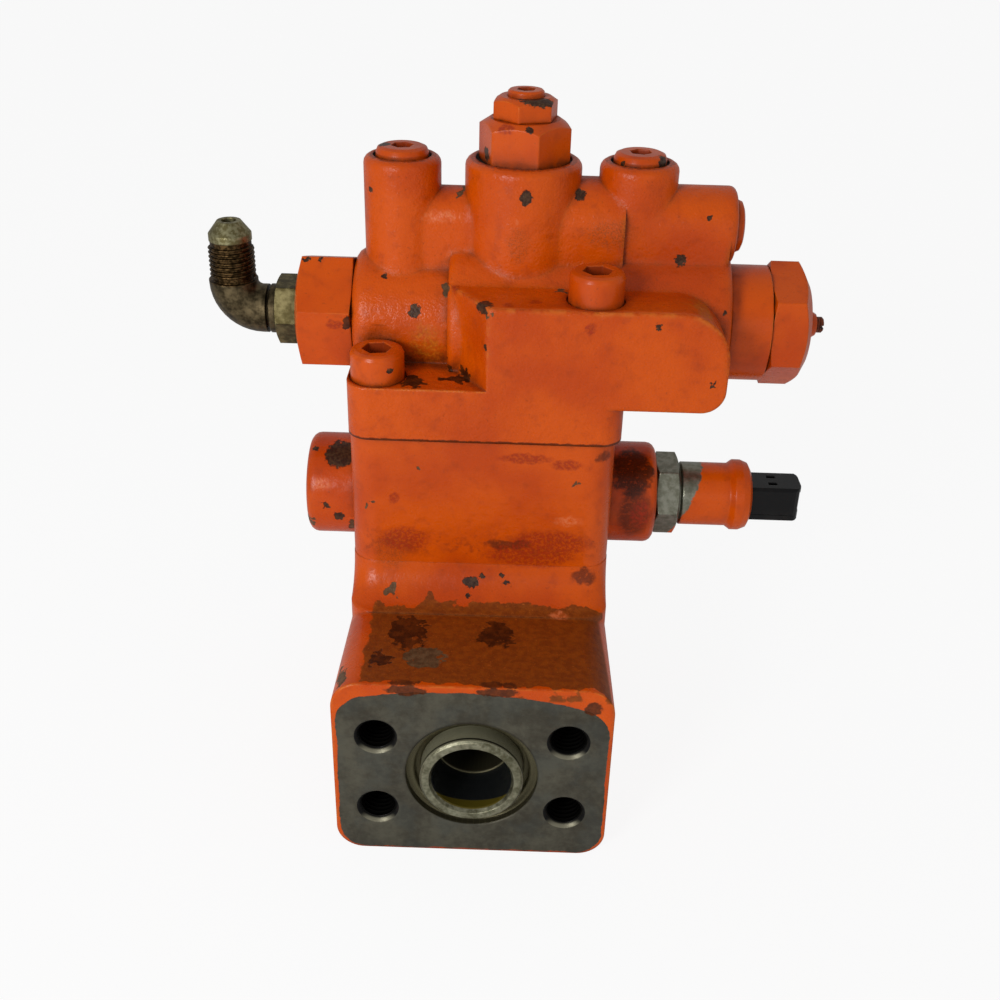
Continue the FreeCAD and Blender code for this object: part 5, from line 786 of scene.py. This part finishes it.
def dress(node, finish):
    """Gives every face of a CAD node one finish."""
    piece = nodes[node]
    if not piece.material_slots:
        piece.data.materials.append(finish)
    for slot in piece.material_slots:
        slot.material = finish


slot_of = {}
for name, piece in nodes.items():
    old = piece.material_slots[0].material.name if piece.material_slots else ""
    slot_of[name] = next((slot for slot in FINISHES if old.startswith(slot)), "dark_steel")
    dress(name, NODE_FINISHES.get(name, FINISHES[slot_of[name]]))


def stand_in(node, name):
    """A copy of a CAD node that rides on the housing in its place."""
    made = nodes[node].copy()
    made.data = nodes[node].data.copy()
    made.name = name
    bpy.context.collection.objects.link(made)
    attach(made, "housing")
    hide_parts(node)
    return made


# The springs: node, joint, direction, held end, travel in mm; each gets a copy with a mesh of its own that rides on the
# housing

SPRINGS = (
    ("pilot_return_spring", "pilot_piston_slide", RIGHT, (-27.6, DEEP, BORE_Z), 6.0),
    ("main_spring", "main_poppet_slide", RIGHT, (80.0, DEEP, BORE_Z), 6.0),
    ("relief_spring", "relief_poppet_slide", (0, 0, 1), (9.9, DEEP, 158.45), 1.5),
)
for node, joint, direction, held_end, travel in SPRINGS:
    coil = stand_in(node, f"{node}_coil")
    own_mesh(coil)

# The elbow's flare thread, cut into a copy of the elbow and wound round it

FLARE_AXIS = Vector((-79.7, DEEP, 0.0)) * MM
THREAD_FOOT, THREAD_TOP = 123.4, 135.9
THREAD_PITCH, THREAD_ROOT, THREAD_CREST = 1.411, 6.35, 7.1
elbow = stand_in("pilot_elbow", "threaded_elbow")
for corner in elbow.data.vertices:
    away = corner.co - FLARE_AXIS
    away.z = 0.0
    height = corner.co.z / MM
    if THREAD_FOOT - 0.1 < height < THREAD_TOP + 0.1 and abs(away.length / MM - THREAD_CREST) < 0.1:
        corner.co -= away.normalized() * (THREAD_CREST - THREAD_ROOT) * MM

# the ridge: a triangle wound up along the thread, sunk a little into its root
RIDGE_SINK, RIDGE_HALF = 0.15, 0.46
turns = int((THREAD_TOP - THREAD_FOOT) / THREAD_PITCH) - 1
bpy.ops.mesh.primitive_circle_add(vertices=3, radius=1.0, location=(0, 0, 0))
ridge = bpy.context.active_object
ridge.name = "flare_thread_ridge"
outer, upper, lower = ridge.data.vertices
outer.co = Vector((THREAD_CREST, 0, 0)) * MM
upper.co = Vector((THREAD_ROOT - RIDGE_SINK, 0, THREAD_PITCH * RIDGE_HALF)) * MM
lower.co = Vector((THREAD_ROOT - RIDGE_SINK, 0, -THREAD_PITCH * RIDGE_HALF)) * MM
screw = ridge.modifiers.new("winding", "SCREW")
screw.angle = 2 * math.pi
screw.screw_offset = THREAD_PITCH * MM
screw.iterations = turns
screw.steps = 40
screw.render_steps = 40
bpy.ops.object.modifier_apply(modifier="winding")
ridge.location = FLARE_AXIS + Vector((0, 0, (THREAD_FOOT + THREAD_PITCH * 0.7) * MM))
bpy.ops.object.transform_apply(location=True, rotation=True, scale=True)
bpy.ops.object.mode_set(mode="EDIT")
bpy.ops.mesh.select_all(action="SELECT")
bpy.ops.mesh.fill_holes(sides=0)
bpy.ops.mesh.select_all(action="SELECT")
bpy.ops.mesh.normals_make_consistent(inside=False)
bpy.ops.object.mode_set(mode="OBJECT")
ridge.data.materials.append(NODE_FINISHES["pilot_elbow"])
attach(ridge, "housing")
bpy.ops.object.select_all(action="DESELECT")

# Camera, fitted to the straight edges of the two blocks

YAW = math.radians(-0.464)
PITCH = math.radians(29.759)
ROLL = math.radians(1.597)
EYE = Vector((8.493, -272.484, 251.664)) * MM
ahead = Vector((math.sin(YAW) * math.cos(PITCH), math.cos(YAW) * math.cos(PITCH), -math.sin(PITCH)))
level = Vector((math.cos(YAW), -math.sin(YAW), 0.0))
upward = level.cross(ahead)
side = level * math.cos(ROLL) + upward * math.sin(ROLL)
top = upward * math.cos(ROLL) - level * math.sin(ROLL)
lens = bpy.data.cameras.new("camera")
lens.sensor_width = 36.0
lens.lens = 43.21
lens.clip_start = 0.01
camera = bpy.data.objects.new("camera", lens)
bpy.context.collection.objects.link(camera)
camera.matrix_world = Matrix.Translation(EYE) @ Matrix((side, top, -ahead)).transposed().to_4x4()
bpy.context.scene.camera = camera

# Studio: a white floor, a white room and two soft lamps

FLOOR_HEIGHT = cad_bounds[0][2]
bpy.ops.mesh.primitive_circle_add(vertices=96, radius=3.0, fill_type="NGON", location=(0, 0, FLOOR_HEIGHT))
floor = bpy.context.active_object
floor.name = "floor"
bpy.ops.object.transform_apply(location=True, rotation=True, scale=True)
floor_white, tree, shader = material("white floor")
shader.inputs["Base Color"].default_value = colour(246, 246, 246)
shader.inputs["Roughness"].default_value = 0.9
glow = add(tree, "Emission", {"Color": (1, 1, 1, 1), "Strength": 1.0})
seen = add(tree, "LightPath").outputs["Is Camera Ray"]
share = maths(tree, "MULTIPLY", seen, 0.90)
both = add(tree, "MixShader", {0: share, 1: shader.outputs["BSDF"], 2: glow.outputs["Emission"]})
tree.links.new(both.outputs["Shader"], tree.nodes["Material Output"].inputs["Surface"])
floor.data.materials.append(floor_white)

world = bpy.data.worlds.new("white room")
world.use_nodes = True
bpy.context.scene.world = world
tree = world.node_tree
rays = add(tree, "LightPath").outputs
direct = maths(tree, "MAXIMUM", rays["Is Camera Ray"], rays["Is Transmission Ray"])
room_light = 0.42
strength = maths(tree, "MULTIPLY_ADD", direct, 1.0 - room_light, room_light)
tree.nodes["Background"].inputs["Color"].default_value = (1, 1, 1, 1)
tree.links.new(strength, tree.nodes["Background"].inputs["Strength"])


def lamp(name, position, aim, size, power):
    """A soft square lamp that points at a place on the object."""
    light = bpy.data.lights.new(name, "AREA")
    light.size = size
    light.energy = power
    made = bpy.data.objects.new(name, light)
    bpy.context.collection.objects.link(made)
    towards = Vector(aim) - Vector(position)
    turn = towards.to_track_quat("-Z", "Y").to_matrix().to_4x4()
    made.matrix_world = Matrix.Translation(Vector(position)) @ turn


MIDDLE = (0.0, 0.05, 0.09)
lamp("key", (-0.40, -0.60, 0.36), MIDDLE, 0.22, 3.2)
lamp("fill", (0.5, -0.9, 0.35), MIDDLE, 0.6, 0.6)

scene = bpy.context.scene
scene.view_settings.view_transform = "Standard"
